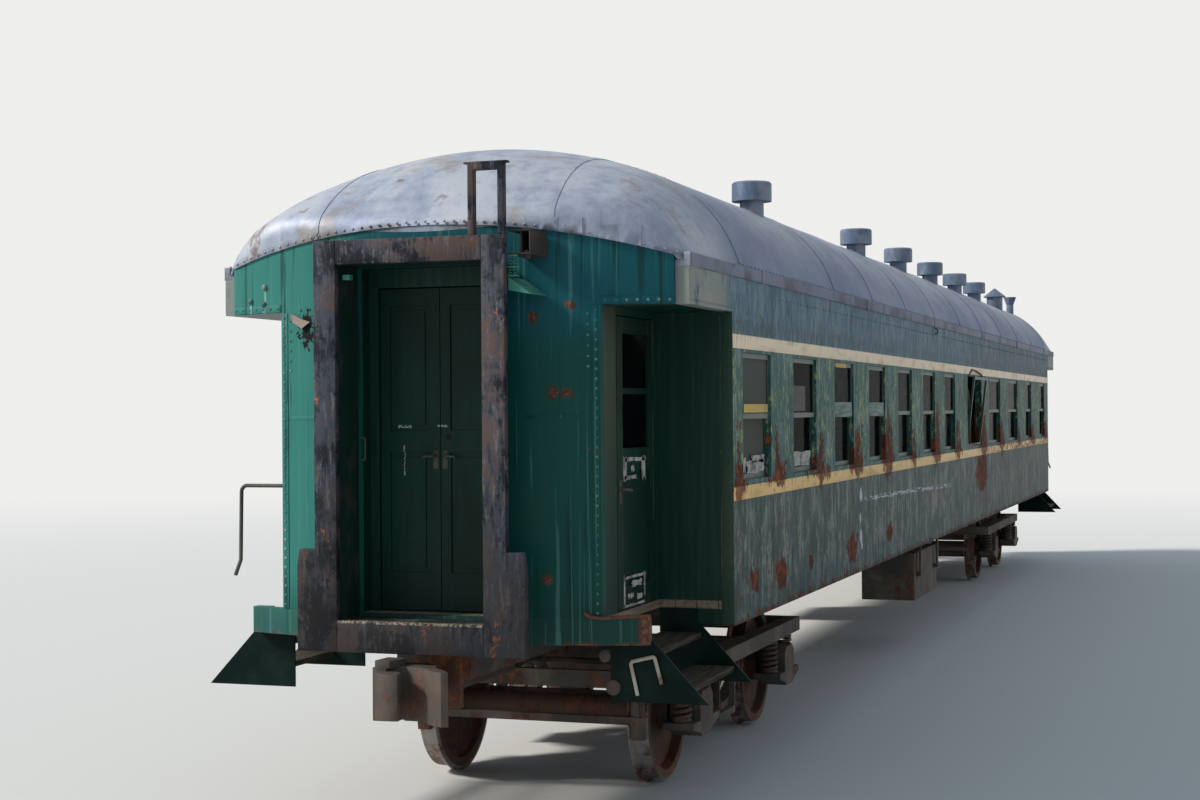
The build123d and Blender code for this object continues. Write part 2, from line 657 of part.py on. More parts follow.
def make_end_frame():
    """Doorway posts, headers and soffits behind the front sheets, with the end doors' frame."""
    top = DOOR_HEAD_Z + SOFFIT_THICKNESS
    wide = VESTIBULE_HALF_WIDTH
    pillar_x = -bow_x(wide, END_WALL_THICKNESS) + CORNER_POST_LENGTH
    pillar = block(-BODY_END, pillar_x, -wide, -wide + POST_THICKNESS, FLOOR_Z, top)
    header = block(pillar_x + SEAM_GAP, -RECESS_X, -wide, -wide + POST_THICKNESS,
                   DOOR_HEAD_Z - SIDE_DOOR_HEAD, top)
    soffit = block(-BODY_END, -RECESS_X, -INNER_HALF_WIDTH, -wide - SEAM_GAP, DOOR_HEAD_Z, top)
    face = -(BODY_END - END_DOOR_RECESS) - HINGE_GAP
    back = face + END_JAMB_DEPTH
    outer = END_DOOR_HALF_WIDTH + END_JAMB_WIDTH
    head = GANGWAY_HEAD_Z + LINING_THICKNESS
    jamb = block(face + SEAM_GAP, back, -outer, -END_DOOR_HALF_WIDTH, FLOOR_Z, head)
    x, y = hinge_axis_end()
    for lug in hinge_lugs(x, y, 90):
        jamb += lug
    reveal = block(-BODY_END, face, -outer, -GANGWAY_INNER, FLOOR_Z, head)
    inside = body_plan(END_WALL_THICKNESS + SEAM_GAP, FLOOR_Z - 1, EAVE_Z + CANTRAIL_HEIGHT)
    pieces = []
    for shape in (pillar, header, soffit, jamb, reveal):
        pieces.extend(both_sides(shape & inside))
    between = END_DOOR_HALF_WIDTH - SEAM_GAP
    pieces.append(block(face + SEAM_GAP, back, -between, between,
                        FLANGE_DEPTH + END_DOOR_TOP + DOOR_HEAD_GAP, head))
    across = GANGWAY_INNER - SEAM_GAP
    pieces.append(block(-BODY_END, face, -across, across, GANGWAY_HEAD_Z, head) & inside)
    return pieces


def make_bulkhead(inner):
    """Front wall between vestibule and saloon, with its doorway and the side doors' hinge posts."""
    x0 = -RECESS_X
    x1 = x0 + BULKHEAD_THICKNESS
    door = BULKHEAD_DOOR_HALF_WIDTH
    ceiling = EAVE_Z - SEAM_GAP
    panel = block(x0, x1, -INNER_HALF_WIDTH, -door, FLOOR_Z, ceiling)
    over = block(x0, x1, -door + SEAM_GAP, door - SEAM_GAP, FLOOR_Z + BULKHEAD_DOOR_HEIGHT, ceiling)
    arch = block(x0, x1, -INNER_HALF_WIDTH, INNER_HALF_WIDTH, EAVE_Z, EAVE_Z + ROOF_RISE) & inner
    post_top = DOOR_HEAD_Z - SIDE_DOOR_HEAD - SEAM_GAP
    hinge_post = block(x0 - HINGE_POST_WIDTH, x0 - SEAM_GAP, -VESTIBULE_HALF_WIDTH,
                       -VESTIBULE_HALF_WIDTH + POST_THICKNESS, FLOOR_Z, post_top)
    x, y = hinge_axis_side()
    for lug in hinge_lugs(x, y, 180):
        hinge_post += lug
    step_wall = block(x0, x0 + RETURN_THICKNESS, -INNER_HALF_WIDTH, -VESTIBULE_HALF_WIDTH,
                      SIDE_BOTTOM_Z, FLOOR_UNDER_Z)
    return [over, arch] + both_sides(panel) + both_sides(hinge_post) + both_sides(step_wall)


def make_gangway_frame(with_loop):
    """Flat iron frame at the front: uprights wide at the foot, head bar, sill, and a loop at this end."""
    z0 = FLANGE_DEPTH + GANGWAY_BOTTOM
    z1 = FLANGE_DEPTH + GANGWAY_TOP
    foot = GANGWAY_FOOT_HALF_WIDTH
    foot_z = FLANGE_DEPTH + GANGWAY_FOOT_TOP
    outline = [(-GANGWAY_INNER, z0), (-GANGWAY_INNER, z1), (-GANGWAY_HALF_WIDTH, z1),
               (-GANGWAY_HALF_WIDTH, foot_z), (-foot + GANGWAY_FOOT_SHOULDER, foot_z),
               (-foot, foot_z - GANGWAY_FOOT_CHAMFER), (-foot, z0)]
    x0 = -GANGWAY_FACE
    x1 = x0 + GANGWAY_PLATE
    across = GANGWAY_INNER - SEAM_GAP
    frame = both_sides(prism_along_x(outline, x0, x1))
    frame.append(block(x0, x1, -across, across, GANGWAY_HEAD_Z, z1))
    frame.append(block(x0, x1, -across, across, z0, GANGWAY_SILL_Z))
    if with_loop:
        base = z1 + SEAM_GAP
        top = z1 + LOOP_HEIGHT
        loop = block(x0, x0 + LOOP_DEPTH, -LOOP_OUTER, -LOOP_INNER, base, top)
        loop -= block(x0 - 1, x1 + 1, -LOOP_OUTER + LOOP_BAR, -LOOP_INNER - LOOP_BAR,
                      base - 1, top - LOOP_BAR)
        loop += block(x0, x0 + LOOP_DEPTH, -LOOP_OUTER - LOOP_CAP_LAP, -LOOP_INNER + LOOP_CAP_LAP,
                      top, top + LOOP_CAP_THICKNESS)
        frame.append(loop)
    return frame


def make_gangway_tunnel():
    """Lining from the frame back to the end sheet, with the plate that is walked on."""
    x0 = -GANGWAY_FACE + GANGWAY_PLATE
    x1 = -BODY_END + END_BOW
    t = LINING_THICKNESS
    outer = block(x0, x1, -GANGWAY_INNER - t, GANGWAY_INNER + t, GANGWAY_SILL_Z - t, GANGWAY_HEAD_Z + t)
    hole = block(x0 - 1, x1 + 1, -GANGWAY_INNER, GANGWAY_INNER, GANGWAY_SILL_Z, GANGWAY_HEAD_Z)
    return (outer - hole) - body_plan(0, SIDE_BOTTOM_Z - 200, GANGWAY_HEAD_Z + 2 * t)


# Underframe

def make_underframe():
    """Side sills and the two webs of the centre sill."""
    reach = RECESS_X - RETURN_THICKNESS
    web_end = bow_x(CENTRE_SILL_OUT, END_WALL_THICKNESS) - SEAM_GAP
    sill = block(-reach, reach, -INNER_HALF_WIDTH, -INNER_HALF_WIDTH + SILL_WIDTH,
                 SIDE_BOTTOM_Z, FLOOR_UNDER_Z)
    web = block(-web_end, web_end, -CENTRE_SILL_OUT, -CENTRE_SILL_OUT + CENTRE_SILL_WEB,
                CENTRE_SILL_Z, FLOOR_UNDER_Z)
    return both_sides(sill) + both_sides(web)


def across_sills(x, half_length, outline, web_depth):
    """A bearer in three parts: an outrigger at each side, and a spacer between the webs."""
    outrigger = prism_along_x(outline, x - half_length, x + half_length)
    inside = CENTRE_SILL_OUT - CENTRE_SILL_WEB
    spacer = block(x - half_length, x + half_length, -inside, inside,
                   FLOOR_UNDER_Z - web_depth, FLOOR_UNDER_Z)
    return both_sides(outrigger), spacer


def make_cross_bearers():
    """Bearers between the bogies, and body bolsters with their centre plates over the bogies."""
    width = INNER_HALF_WIDTH - SILL_WIDTH
    top = FLOOR_UNDER_Z
    tip = top - BEARER_TIP_DEPTH
    bearer = [(-width, top), (-width, tip), (-CENTRE_SILL_OUT, top - BEARER_DEPTH), (-CENTRE_SILL_OUT, top)]
    bolster = [(-width, top), (-width, tip), (-width + BODY_BOLSTER_TAPER, CENTRE_SILL_Z),
               (-CENTRE_SILL_OUT, CENTRE_SILL_Z), (-CENTRE_SILL_OUT, top)]
    reach = BOGIE_X - BEARER_TO_BOGIE
    pieces = []
    for index in range(BEARER_COUNT):
        x = reach * (2 * index / (BEARER_COUNT - 1) - 1)
        outriggers, spacer = across_sills(x, BEARER_THICKNESS / 2, bearer, BEARER_DEPTH)
        pieces.extend(outriggers + [spacer])
    for x in (-BOGIE_X, BOGIE_X):
        outriggers, spacer = across_sills(x, BODY_BOLSTER_HALF_LENGTH, bolster, CENTRE_SILL_DEPTH)
        plate = post(x, 0, CENTRE_PLATE_RADIUS, CENTRE_PLATE_Z + SEAM_GAP, CENTRE_SILL_Z)
        pieces.extend(outriggers + [spacer + plate])
    return pieces


def step_front_x():
    """Face that the front stringer of a step is fixed to."""
    return -bow_x(HEADSTOCK_HALF_WIDTH, END_WALL_THICKNESS)


def make_headstock():
    """Front headstock, flush with the bowed end, with the coupler's striker and the steps' pads."""
    beam = bowed_plate(END_WALL_THICKNESS, HEADSTOCK_HALF_WIDTH, HEADSTOCK_Z, FLOOR_Z)
    seat = step_front_x()
    pad = block(seat - STEP_PAD_LENGTH, seat, -HEADSTOCK_HALF_WIDTH,
                -HEADSTOCK_HALF_WIDTH + STEP_PAD_WIDTH, HEADSTOCK_Z, FLOOR_Z)
    gap = COUPLER_SHANK / 2 + STRIKER_CLEARANCE
    striker = bowed_plate(END_WALL_THICKNESS, STRIKER_HALF_WIDTH, FLANGE_DEPTH + STRIKER_BOTTOM,
                          HEADSTOCK_Z - SEAM_GAP)
    striker -= block(-BODY_END - 1, -RECESS_X, -gap, gap, COUPLER_Z - gap, COUPLER_Z + gap)
    return [beam + pad + to_right(pad), striker]


def make_floor():
    """Floor plates: the saloon's, and the vestibules' narrower ones that clear the step wells."""
    saloon = block(-RECESS_X, RECESS_X, -INNER_HALF_WIDTH, INNER_HALF_WIDTH, FLOOR_UNDER_Z, FLOOR_Z)
    vestibule = block(-BODY_END, -RECESS_X - SEAM_GAP, -VESTIBULE_HALF_WIDTH, VESTIBULE_HALF_WIDTH,
                      FLOOR_UNDER_Z, FLOOR_Z)
    vestibule &= body_plan(END_WALL_THICKNESS + SEAM_GAP, FLOOR_UNDER_Z - 1, FLOOR_Z + 1)
    return [saloon, vestibule, to_rear(vestibule)]


def make_coupler():
    """Front coupler: shank and yoke, head with its guard arm and knuckle lug, and the knuckle."""
    tip = BODY_END + COUPLER_REACH
    half = COUPLER_SHANK / 2
    height = COUPLER_HEAD_HALF_HEIGHT
    head = prism_along_z([(x - tip, y) for x, y in COUPLER_OUTLINE], COUPLER_Z - height, COUPLER_Z + height)
    head += prism_along_z([(x - tip, y) for x, y in COUPLER_LUG_OUTLINE],
                          COUPLER_Z + height - 1, COUPLER_Z + height + COUPLER_LUG_HEIGHT)
    knuckle = prism_along_z([(x - tip, y) for x, y in KNUCKLE_OUTLINE],
                            COUPLER_Z - KNUCKLE_HALF_HEIGHT, COUPLER_Z + KNUCKLE_HALF_HEIGHT)
    yoke_x = -BODY_END + COUPLER_YOKE_START
    shank_start = COUPLER_OUTLINE[0][0] - 1
    shank = block(shank_start - tip, yoke_x + COUPLER_YOKE_LENGTH / 2, -half, half,
                  COUPLER_Z - half, COUPLER_Z + half)
    inside = CENTRE_SILL_OUT - CENTRE_SILL_WEB
    yoke = block(yoke_x, yoke_x + COUPLER_YOKE_LENGTH, -inside, inside, CENTRE_SILL_Z,
                 COUPLER_Z + half + COUPLER_YOKE_LIFT)
    return [shank + head + yoke, knuckle]


def make_steps():
    """Front left steps: two slanted side plates and the wooden treads between them."""
    inner = -VESTIBULE_HALF_WIDTH - STEP_TREAD_LAP
    knee = -HEADSTOCK_HALF_WIDTH
    bottom = FLANGE_DEPTH + STEP_PLATE_BOTTOM
    outline = [(inner, FLOOR_UNDER_Z), (inner, bottom), (-BODY_HALF_WIDTH - STEP_PLATE_REACH, bottom),
               (knee, FLANGE_DEPTH + STEP_PLATE_KNEE), (knee, FLOOR_UNDER_Z)]
    front = step_front_x()
    back = -RECESS_X
    thick = STRINGER_THICKNESS
    stringers = [prism_along_x(outline, x0, x0 + thick) for x0 in (front, back - thick)]
    treads = []
    for index, rise in enumerate(STEP_RISES):
        y0 = -BODY_HALF_WIDTH + STEP_TREAD_LAP + index * STEP_STAGGER
        z1 = FLANGE_DEPTH + rise
        treads.append(block(front + thick, back - thick, y0, y0 + STEP_TREAD_DEPTH,
                            z1 - TREAD_THICKNESS, z1))
    return stringers + treads


def make_grab_rails():
    """Bent rails on three corner posts, out over the steps; the front left one is missing."""
    x = -bow_x(VESTIBULE_HALF_WIDTH, END_WALL_THICKNESS) + RAIL_BEND + STEP_PAD_LENGTH
    post_y = VESTIBULE_HALF_WIDTH + SEAM_GAP
    points = [(x, post_y, FLANGE_DEPTH + RAIL_POINTS[0][1])]
    for out, z in RAIL_POINTS:
        points.append((x, post_y + out, FLANGE_DEPTH + z))
    bends = [RAIL_BEND] * (len(points) - 2)
    path = FilletPolyline(*points, radius=bends)
    start = Plane(origin=points[0], z_dir=path % 0)
    rail = sweep(start * Circle(RAIL_RADIUS), path=path)
    return [rail, to_rear(rail), to_rear(to_right(rail))]


# Roof fittings

def roof_fitting(x, top, stem_radius, cap_outline, outer):
    """A turned cap on a round stem, on the left shoulder, the stem cut to the roof."""
    y = -VENTILATOR_Y
    cap_z = FLANGE_DEPTH + top - max(z for radius, z in cap_outline)
    stem = post(x, y, stem_radius, EAVE_Z + ROOF_RISE / 2, cap_z + 1)
    cap = Pos(x, y, cap_z) * revolve(Plane.XZ * Polygon(*cap_outline, align=None), Axis.Z)
    return (stem - outer) + cap


def make_ventilators(outer):
    """Ventilators on both shoulders, the stove's chimney and a funnel on the left one."""
    drum = [(0, 0), (CAP_RADIUS, 0), (CAP_RADIUS, CAP_HEIGHT - CAP_EDGE), (CAP_RADIUS - CAP_EDGE, CAP_HEIGHT),
            (0, CAP_HEIGHT)]
    rim = CAP_EDGE
    hat = [(0, 0), (CHIMNEY_HAT_RADIUS, 0), (CHIMNEY_HAT_RADIUS, rim), (rim, CHIMNEY_HAT_HEIGHT),
           (0, CHIMNEY_HAT_HEIGHT)]
    cup = [(0, 0), (FUNNEL_STEM_RADIUS, 0), (FUNNEL_RADIUS, FUNNEL_HEIGHT - rim),
           (FUNNEL_RADIUS, FUNNEL_HEIGHT), (0, FUNNEL_HEIGHT)]
    pieces = []
    for x in VENTILATORS:
        pieces.extend(both_sides(roof_fitting(x, VENTILATOR_TOP, STEM_RADIUS, drum, outer)))
    pieces.append(roof_fitting(CHIMNEY_X, CHIMNEY_TOP, CHIMNEY_RADIUS, hat, outer))
    pieces.append(roof_fitting(FUNNEL_X, FUNNEL_TOP, FUNNEL_STEM_RADIUS, cup, outer))
    return pieces


# Interior

def bench_middles(windows):
    """Middle of each back-to-back bench, halfway between two windows."""
    middles = [middle for middle, width in windows]
    return [(first + second) / 2 for first, second in zip(middles, middles[1:])]


def make_bench_seats(middles):
    """Cushions on both sides of each bench back, both sides of the aisle."""
    seats = []
    z1 = FLOOR_Z + SEAT_HEIGHT
    half = SEAT_BACK_THICKNESS / 2
    for x in middles:
        for x0 in (x - half - SEAT_DEPTH, x + half):
            seat = block(x0, x0 + SEAT_DEPTH, -INNER_HALF_WIDTH, -AISLE_HALF_WIDTH, z1 - SEAT_PAD, z1)
            seats.extend(both_sides(seat))
    return seats


def make_bench_backs(middles):
    """Bench backs, standing on the floor."""
    half = SEAT_BACK_THICKNESS / 2
    backs = []
    top = FLOOR_Z + SEAT_BACK_HEIGHT
    for x in middles:
        back = block(x - half, x + half, -INNER_HALF_WIDTH, -AISLE_HALF_WIDTH, FLOOR_Z, top)
        backs.extend(both_sides(back))
    return backs


def make_racks():
    """Luggage shelf along each wall above the windows."""
    z1 = FLOOR_Z + RACK_LEVEL
    rack = block(-RECESS_X + BULKHEAD_THICKNESS, RECESS_X - BULKHEAD_THICKNESS, -INNER_HALF_WIDTH,
                 -INNER_HALF_WIDTH + RACK_DEPTH, z1 - RACK_THICKNESS, z1)
    return both_sides(rack)


# Equipment under the floor

def make_battery_boxes():
    """A battery box hung under the floor on each side."""
    hang = -INNER_HALF_WIDTH + SILL_WIDTH
    lid = FLOOR_UNDER_Z - BEARER_DEPTH
    end = -BATTERY_BOX_START
    start = end - BATTERY_BOX_LENGTH
    box = block(start, end, hang + BATTERY_STANDOFF, -BATTERY_BOX_INNER, lid - BATTERY_BOX_DEPTH, lid)
    thick = BATTERY_HANGER_THICKNESS
    foot = lid - BATTERY_BOX_DEPTH / 2
    for x0 in (start + 2 * BATTERY_HANGER, end - 3 * BATTERY_HANGER):
        box += block(x0, x0 + BATTERY_HANGER, hang, hang + thick, foot, FLOOR_UNDER_Z)
        box += block(x0, x0 + BATTERY_HANGER, hang, hang + BATTERY_STANDOFF + 1, foot, foot + 2 * thick)
    return [box, to_rear(to_right(box))]


def make_reservoirs():
    """Brake cylinder and air tank beside the centre sill, one each side."""
    bearer_spacing = 2 * (BOGIE_X - BEARER_TO_BOGIE) / (BEARER_COUNT - 1)
    x = TANK_BEARER_SPACES * bearer_spacing
    z = FLOOR_UNDER_Z - TANK_DROP
    tank = Pos(x, -TANK_Y, z) * Rot(0, 90, 0) * Cylinder(TANK_RADIUS, TANK_LENGTH)
    half = TANK_STRAP / 2
    for strap in (x - TANK_LENGTH / 3, x + TANK_LENGTH / 3):
        tank += block(strap - half, strap + half, -TANK_Y - half, -TANK_Y + half,
                      z + TANK_RADIUS / 2, FLOOR_UNDER_Z)
    return [tank, to_rear(to_right(tank))]


# Bogies, each made at x = 0

def make_wheelset(x):
    """Axle with its two wheels, turned as one profile."""
    radius = WHEEL_DIAMETER / 2
    back = WHEEL_BACK_HALF
    face = back + RIM_WIDTH
    rim = radius - RIM_DEPTH
    half = [
        (JOURNAL_CENTRE + JOURNAL_END, 0), (JOURNAL_CENTRE + JOURNAL_END, JOURNAL_RADIUS),
        (face + 32, JOURNAL_RADIUS), (face + 30, HUB_RADIUS), (face - 42, HUB_RADIUS + 4),
        (face - 68, rim - 4), (face, rim), (face, radius - 4), (back + 36, radius + 1),
        (back + 22, radius + FLANGE_DEPTH - 6), (back + 14, radius + FLANGE_DEPTH),
        (back + 6, radius + FLANGE_DEPTH), (back, radius + 12), (back, rim),
        (face - 98, rim - 8), (face - 74, HUB_RADIUS + 4), (back - 22, HUB_RADIUS),
        (back - 22, AXLE_RADIUS),
    ]
    outline = half + [(-y, r) for y, r in reversed(half)]
    turned = revolve(Polygon(*outline, align=None), Axis.X)
    return Pos(x, 0, AXLE_Z) * Rot(0, 0, 90) * turned


def make_bogie_frame():
    """Side beams, end beams and transoms."""
    top = BOLSTER_TOP_Z
    half = BOGIE_HALF_LENGTH
    beam = block(-half, half, -SIDE_BEAM_Y - SIDE_BEAM_WIDTH, -SIDE_BEAM_Y, SIDE_BEAM_Z, top)
    frame = beam + to_right(beam)
    across = SIDE_BEAM_Y + 1
    for end in (-1, 1):
        frame += block(end * half, end * (half - END_BEAM_WIDTH), -across, across, SIDE_BEAM_Z, top)
        near = BOLSTER_HALF_LENGTH + TRANSOM_GAP
        frame += block(end * near, end * (near + TRANSOM_WIDTH), -across, across,
                       SIDE_BEAM_Z - TRANSOM_DROP, top)
    return frame


def make_bolster():
    """Bolster with its centre plate, and the spring plank hung below it."""
    half = BOLSTER_HALF_LENGTH
    wide = BOLSTER_HALF_WIDTH
    z0 = BOLSTER_TOP_Z - BOLSTER_DEPTH
    bolster = block(-half, half, -wide, wide, z0, BOLSTER_TOP_Z)
    bolster += post(0, 0, CENTRE_PLATE_RADIUS, BOLSTER_TOP_Z - 1, CENTRE_PLATE_Z)
    plank_top = z0 - LEAF_SPRING_HEIGHT
    near = half + TRANSOM_GAP
    thick = PLANK_HANGER_THICKNESS
    plank = block(-near + thick, near - thick, -wide, wide, plank_top - PLANK_THICKNESS, plank_top)
    for x0 in (-near, near - thick):
        for y0 in (-wide, wide - PLANK_HANGER_WIDTH):
            plank += block(x0, x0 + thick, y0, y0 + PLANK_HANGER_WIDTH,
                           plank_top - PLANK_THICKNESS, SIDE_BEAM_Z + TRANSOM_DROP)
    return [bolster, plank]


def leaf_ring(half_length, half_height):
    """Lens outline of two arcs, as a face standing in XZ."""
    arcs = [ThreePointArc((-half_length, 0), (0, half_height), (half_length, 0)),
            ThreePointArc((half_length, 0), (0, -half_height), (-half_length, 0))]
    return make_face(arcs)


def make_leaf_springs():
    """Two full elliptic springs under each end of the bolster."""
    z0 = BOLSTER_TOP_Z - BOLSTER_DEPTH
    middle = z0 - LEAF_SPRING_HEIGHT / 2
    half_height = LEAF_SPRING_HEIGHT / 2
    lens = leaf_ring(LEAF_SPRING_HALF_LENGTH, half_height)
    lens -= leaf_ring(LEAF_SPRING_HALF_LENGTH - 2 * LEAF_PACK, half_height - LEAF_PACK)
    springs = []
    band = LEAF_BAND_HALF_LENGTH
    first = -BOLSTER_HALF_WIDTH + LEAF_SPRING_MARGIN + LEAF_SPRING_WIDTH
    for y1 in (first, first + LEAF_SPRING_WIDTH + LEAF_SPRING_SPACE):
        plane = Plane(origin=(0, y1, middle), x_dir=(1, 0, 0), z_dir=(0, -1, 0))
        spring = extrude(plane * lens, amount=LEAF_SPRING_WIDTH, dir=(0, -1, 0))
        for z in (z0 - LEAF_BAND_DEPTH, z0 - LEAF_SPRING_HEIGHT):
            spring += block(-band, band, y1 - LEAF_SPRING_WIDTH, y1, z, z + LEAF_BAND_DEPTH)
        springs.extend(both_sides(spring))
    return springs


def make_axle_springs():
    """Coil springs on the axle boxes' wings."""
    springs = []
    for axle in (-WHEELBASE / 2, WHEELBASE / 2):
        for side in (-AXLE_SPRING_OFFSET, AXLE_SPRING_OFFSET):
            spring = post(axle + side, -JOURNAL_CENTRE, AXLE_SPRING_RADIUS, WING_TOP_Z, SIDE_BEAM_Z)
            springs.extend(both_sides(spring))
    return springs


def make_axle_boxes():
    """Boxes round the journals, with a wing at each side for the springs."""
    boxes = []
    y0 = -JOURNAL_CENTRE - AXLE_BOX_LENGTH / 2
    y1 = -JOURNAL_CENTRE + AXLE_BOX_LENGTH / 2
    reach = AXLE_SPRING_OFFSET + AXLE_SPRING_RADIUS + WING_MARGIN
    h = AXLE_BOX_HALF
    cut = h - AXLE_BOX_CORNER
    low = WING_TOP_Z - 2 * WING_THICKNESS
    for axle in (-WHEELBASE / 2, WHEELBASE / 2):
        outline = [(axle - h, WING_TOP_Z), (axle - h, AXLE_Z + cut), (axle - cut, AXLE_Z + h),
                   (axle + cut, AXLE_Z + h), (axle + h, AXLE_Z + cut), (axle + h, WING_TOP_Z),
                   (axle + reach, WING_TOP_Z), (axle + reach, WING_TOP_Z - WING_THICKNESS),
                   (axle + h, low), (axle + cut, AXLE_Z - h), (axle - cut, AXLE_Z - h), (axle - h, low),
                   (axle - reach, WING_TOP_Z - WING_THICKNESS), (axle - reach, WING_TOP_Z)]
        body = prism_along_y(outline, y0, y1)
        body -= rod_along_y(axle, AXLE_Z, JOURNAL_RADIUS + BARREL_GAP,
                            -JOURNAL_CENTRE - JOURNAL_END - 2, y1 + 1)
        boxes.extend(both_sides(body))
    return boxes


def brake_shoe(axle, side, inner, outer):
    """One shoe on the left wheel, ahead of it or behind it."""
    y1 = -WHEEL_BACK_HALF - SHOE_FROM_BACK
    y0 = y1 - SHOE_WIDTH
    half = SHOE_HALF_HEIGHT
    ring = rod_along_y(axle, AXLE_Z, outer, y0, y1) - rod_along_y(axle, AXLE_Z, inner, y0 - 1, y1 + 1)
    near = sqrt(inner ** 2 - half ** 2)
    return ring & block(axle + side * near, axle + side * (outer + 1), y0, y1, AXLE_Z - half, AXLE_Z + half)


def make_brake_gear():
    """Shoes on both sides of each wheel, their beams and hangers."""
    inner = WHEEL_DIAMETER / 2 + SHOE_CLEARANCE
    outer = inner + SHOE_THICKNESS
    wide = WHEEL_BACK_HALF + SHOE_FROM_BACK + SHOE_WIDTH
    thick = BRAKE_BEAM_WIDTH
    half_depth = BRAKE_BEAM_DEPTH / 2
    half_hanger = BRAKE_HANGER_WIDTH / 2
    pieces = []
    for end in (-1, 1):
        axle = end * WHEELBASE / 2
        for side in (-1, 1):
            back = axle + side * (outer - BRAKE_BEAM_LAP)
            beam = block(back, back + side * thick, -wide, wide, AXLE_Z - half_depth, AXLE_Z + half_depth)
            for sign in (-1, 1):
                y = sign * (wide - SHOE_WIDTH / 2)
                beam += block(back, back + side * BRAKE_HANGER_THICKNESS, y - half_hanger, y + half_hanger,
                              AXLE_Z, SIDE_BEAM_Z)
            if side != end:
                beam += rod_along_y(back + side * thick / 2, SIDE_BEAM_Z + HANGER_BAR_RISE,
                                    HANGER_BAR_RADIUS, -SIDE_BEAM_Y, SIDE_BEAM_Y)
            shoe = brake_shoe(axle, side, inner, outer)
            pieces.append(beam + shoe + to_right(shoe))
    return pieces


def main():
    os.makedirs("parts", exist_ok=True)
    outer = roof_envelope(0.0)
    inner = roof_envelope(ROOF_THICKNESS)
    save("roof", make_roof(outer, inner))
    windows = window_table()
    wall = make_side_wall(windows)
    save("side_wall_left", wall)
    save("side_wall_right", [to_right(piece) for piece in wall])
    left_sashes = []
    right_sashes = []
    left_glass = []
    right_glass = []
    for index, (middle, width) in enumerate(windows):
        sash = make_sash_pair(middle, width)
        panes = make_glass_pair(middle, width)
        right_sashes.append(to_right(sash))
        right_glass.extend(to_right(pane) for pane in panes)
        if index == BROKEN_WINDOW:
            left_sashes.append(make_broken_sash(middle, width))
        else:
            left_sashes.append(sash)
            left_glass.extend(panes)
    save("window_sashes_left", left_sashes)
    save("window_sashes_right", right_sashes)
    save("window_glass_left", left_glass)
    save("window_glass_right", right_glass)
    for name, pieces in (("end_wall", make_end_wall(inner)), ("end_frame", make_end_frame())):
        save(name + "_front", pieces)
        save(name + "_rear", [to_rear(piece) for piece in pieces])
    bulkhead = make_bulkhead(inner)
    save("bulkhead_front", bulkhead)
    save("bulkhead_rear", [to_rear(piece) for piece in bulkhead])
    save("gangway_frame_front", make_gangway_frame(True))
    save("gangway_frame_rear", [to_rear(piece) for piece in make_gangway_frame(False)])
    tunnel = make_gangway_tunnel()
    save("gangway_tunnel_front", tunnel)
    save("gangway_tunnel_rear", to_rear(tunnel))
    save("underframe", make_underframe())
    headstock = make_headstock()
    save("cross_bearers", make_cross_bearers() + headstock + [to_rear(piece) for piece in headstock])
    save("floor", make_floor())
    coupler = make_coupler()
    save("coupler_front", coupler)
    save("coupler_rear", [Rot(0, 0, 180) * piece for piece in coupler])
    steps = make_steps()
    save("steps_front_left", steps)
    save("steps_front_right", [to_right(piece) for piece in steps])
    save("steps_rear_left", [to_rear(piece) for piece in steps])
    save("steps_rear_right", [to_rear(to_right(piece)) for piece in steps])
    save("grab_rails", make_grab_rails())
    save("roof_ventilators", make_ventilators(outer))
    middles = bench_middles(windows)
    save("bench_seats", make_bench_seats(middles))
    save("bench_backs", make_bench_backs(middles))
    save("luggage_racks", make_racks())
    save("battery_boxes", make_battery_boxes())
    save("brake_reservoirs", make_reservoirs())
    door, panes = make_side_door()
    leaf = make_end_leaf()
    for end, turn_end in (("front", lambda s: s), ("rear", to_rear)):
        for side, turn_side in (("left", lambda s: s), ("right", to_right)):
            corner = end + "_" + side
            save("side_door_" + corner, turn_end(turn_side(door)))
            save("side_door_glass_" + corner, [turn_end(turn_side(pane)) for pane in panes])
            save("end_door_" + corner, turn_end(turn_side(leaf)))
    bogie = {
        "frame": [make_bogie_frame()] + make_bolster(),
        "springs": make_leaf_springs() + make_axle_springs(),
        "axle_boxes": make_axle_boxes(),
        "brake_gear": make_brake_gear(),
    }
    number = 1
    for end, x in (("front", -BOGIE_X), ("rear", BOGIE_X)):
        for name, pieces in bogie.items():
            save("bogie_" + end + "_" + name, [Pos(x, 0, 0) * piece for piece in pieces])
        for axle in (-WHEELBASE / 2, WHEELBASE / 2):
            save("wheelset_" + str(number), make_wheelset(x + axle))
            number += 1


main()
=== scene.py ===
import math
import random
from functools import reduce

import bmesh
import bpy
from mathutils import Matrix, Vector
from mathutils.bvhtree import BVHTree


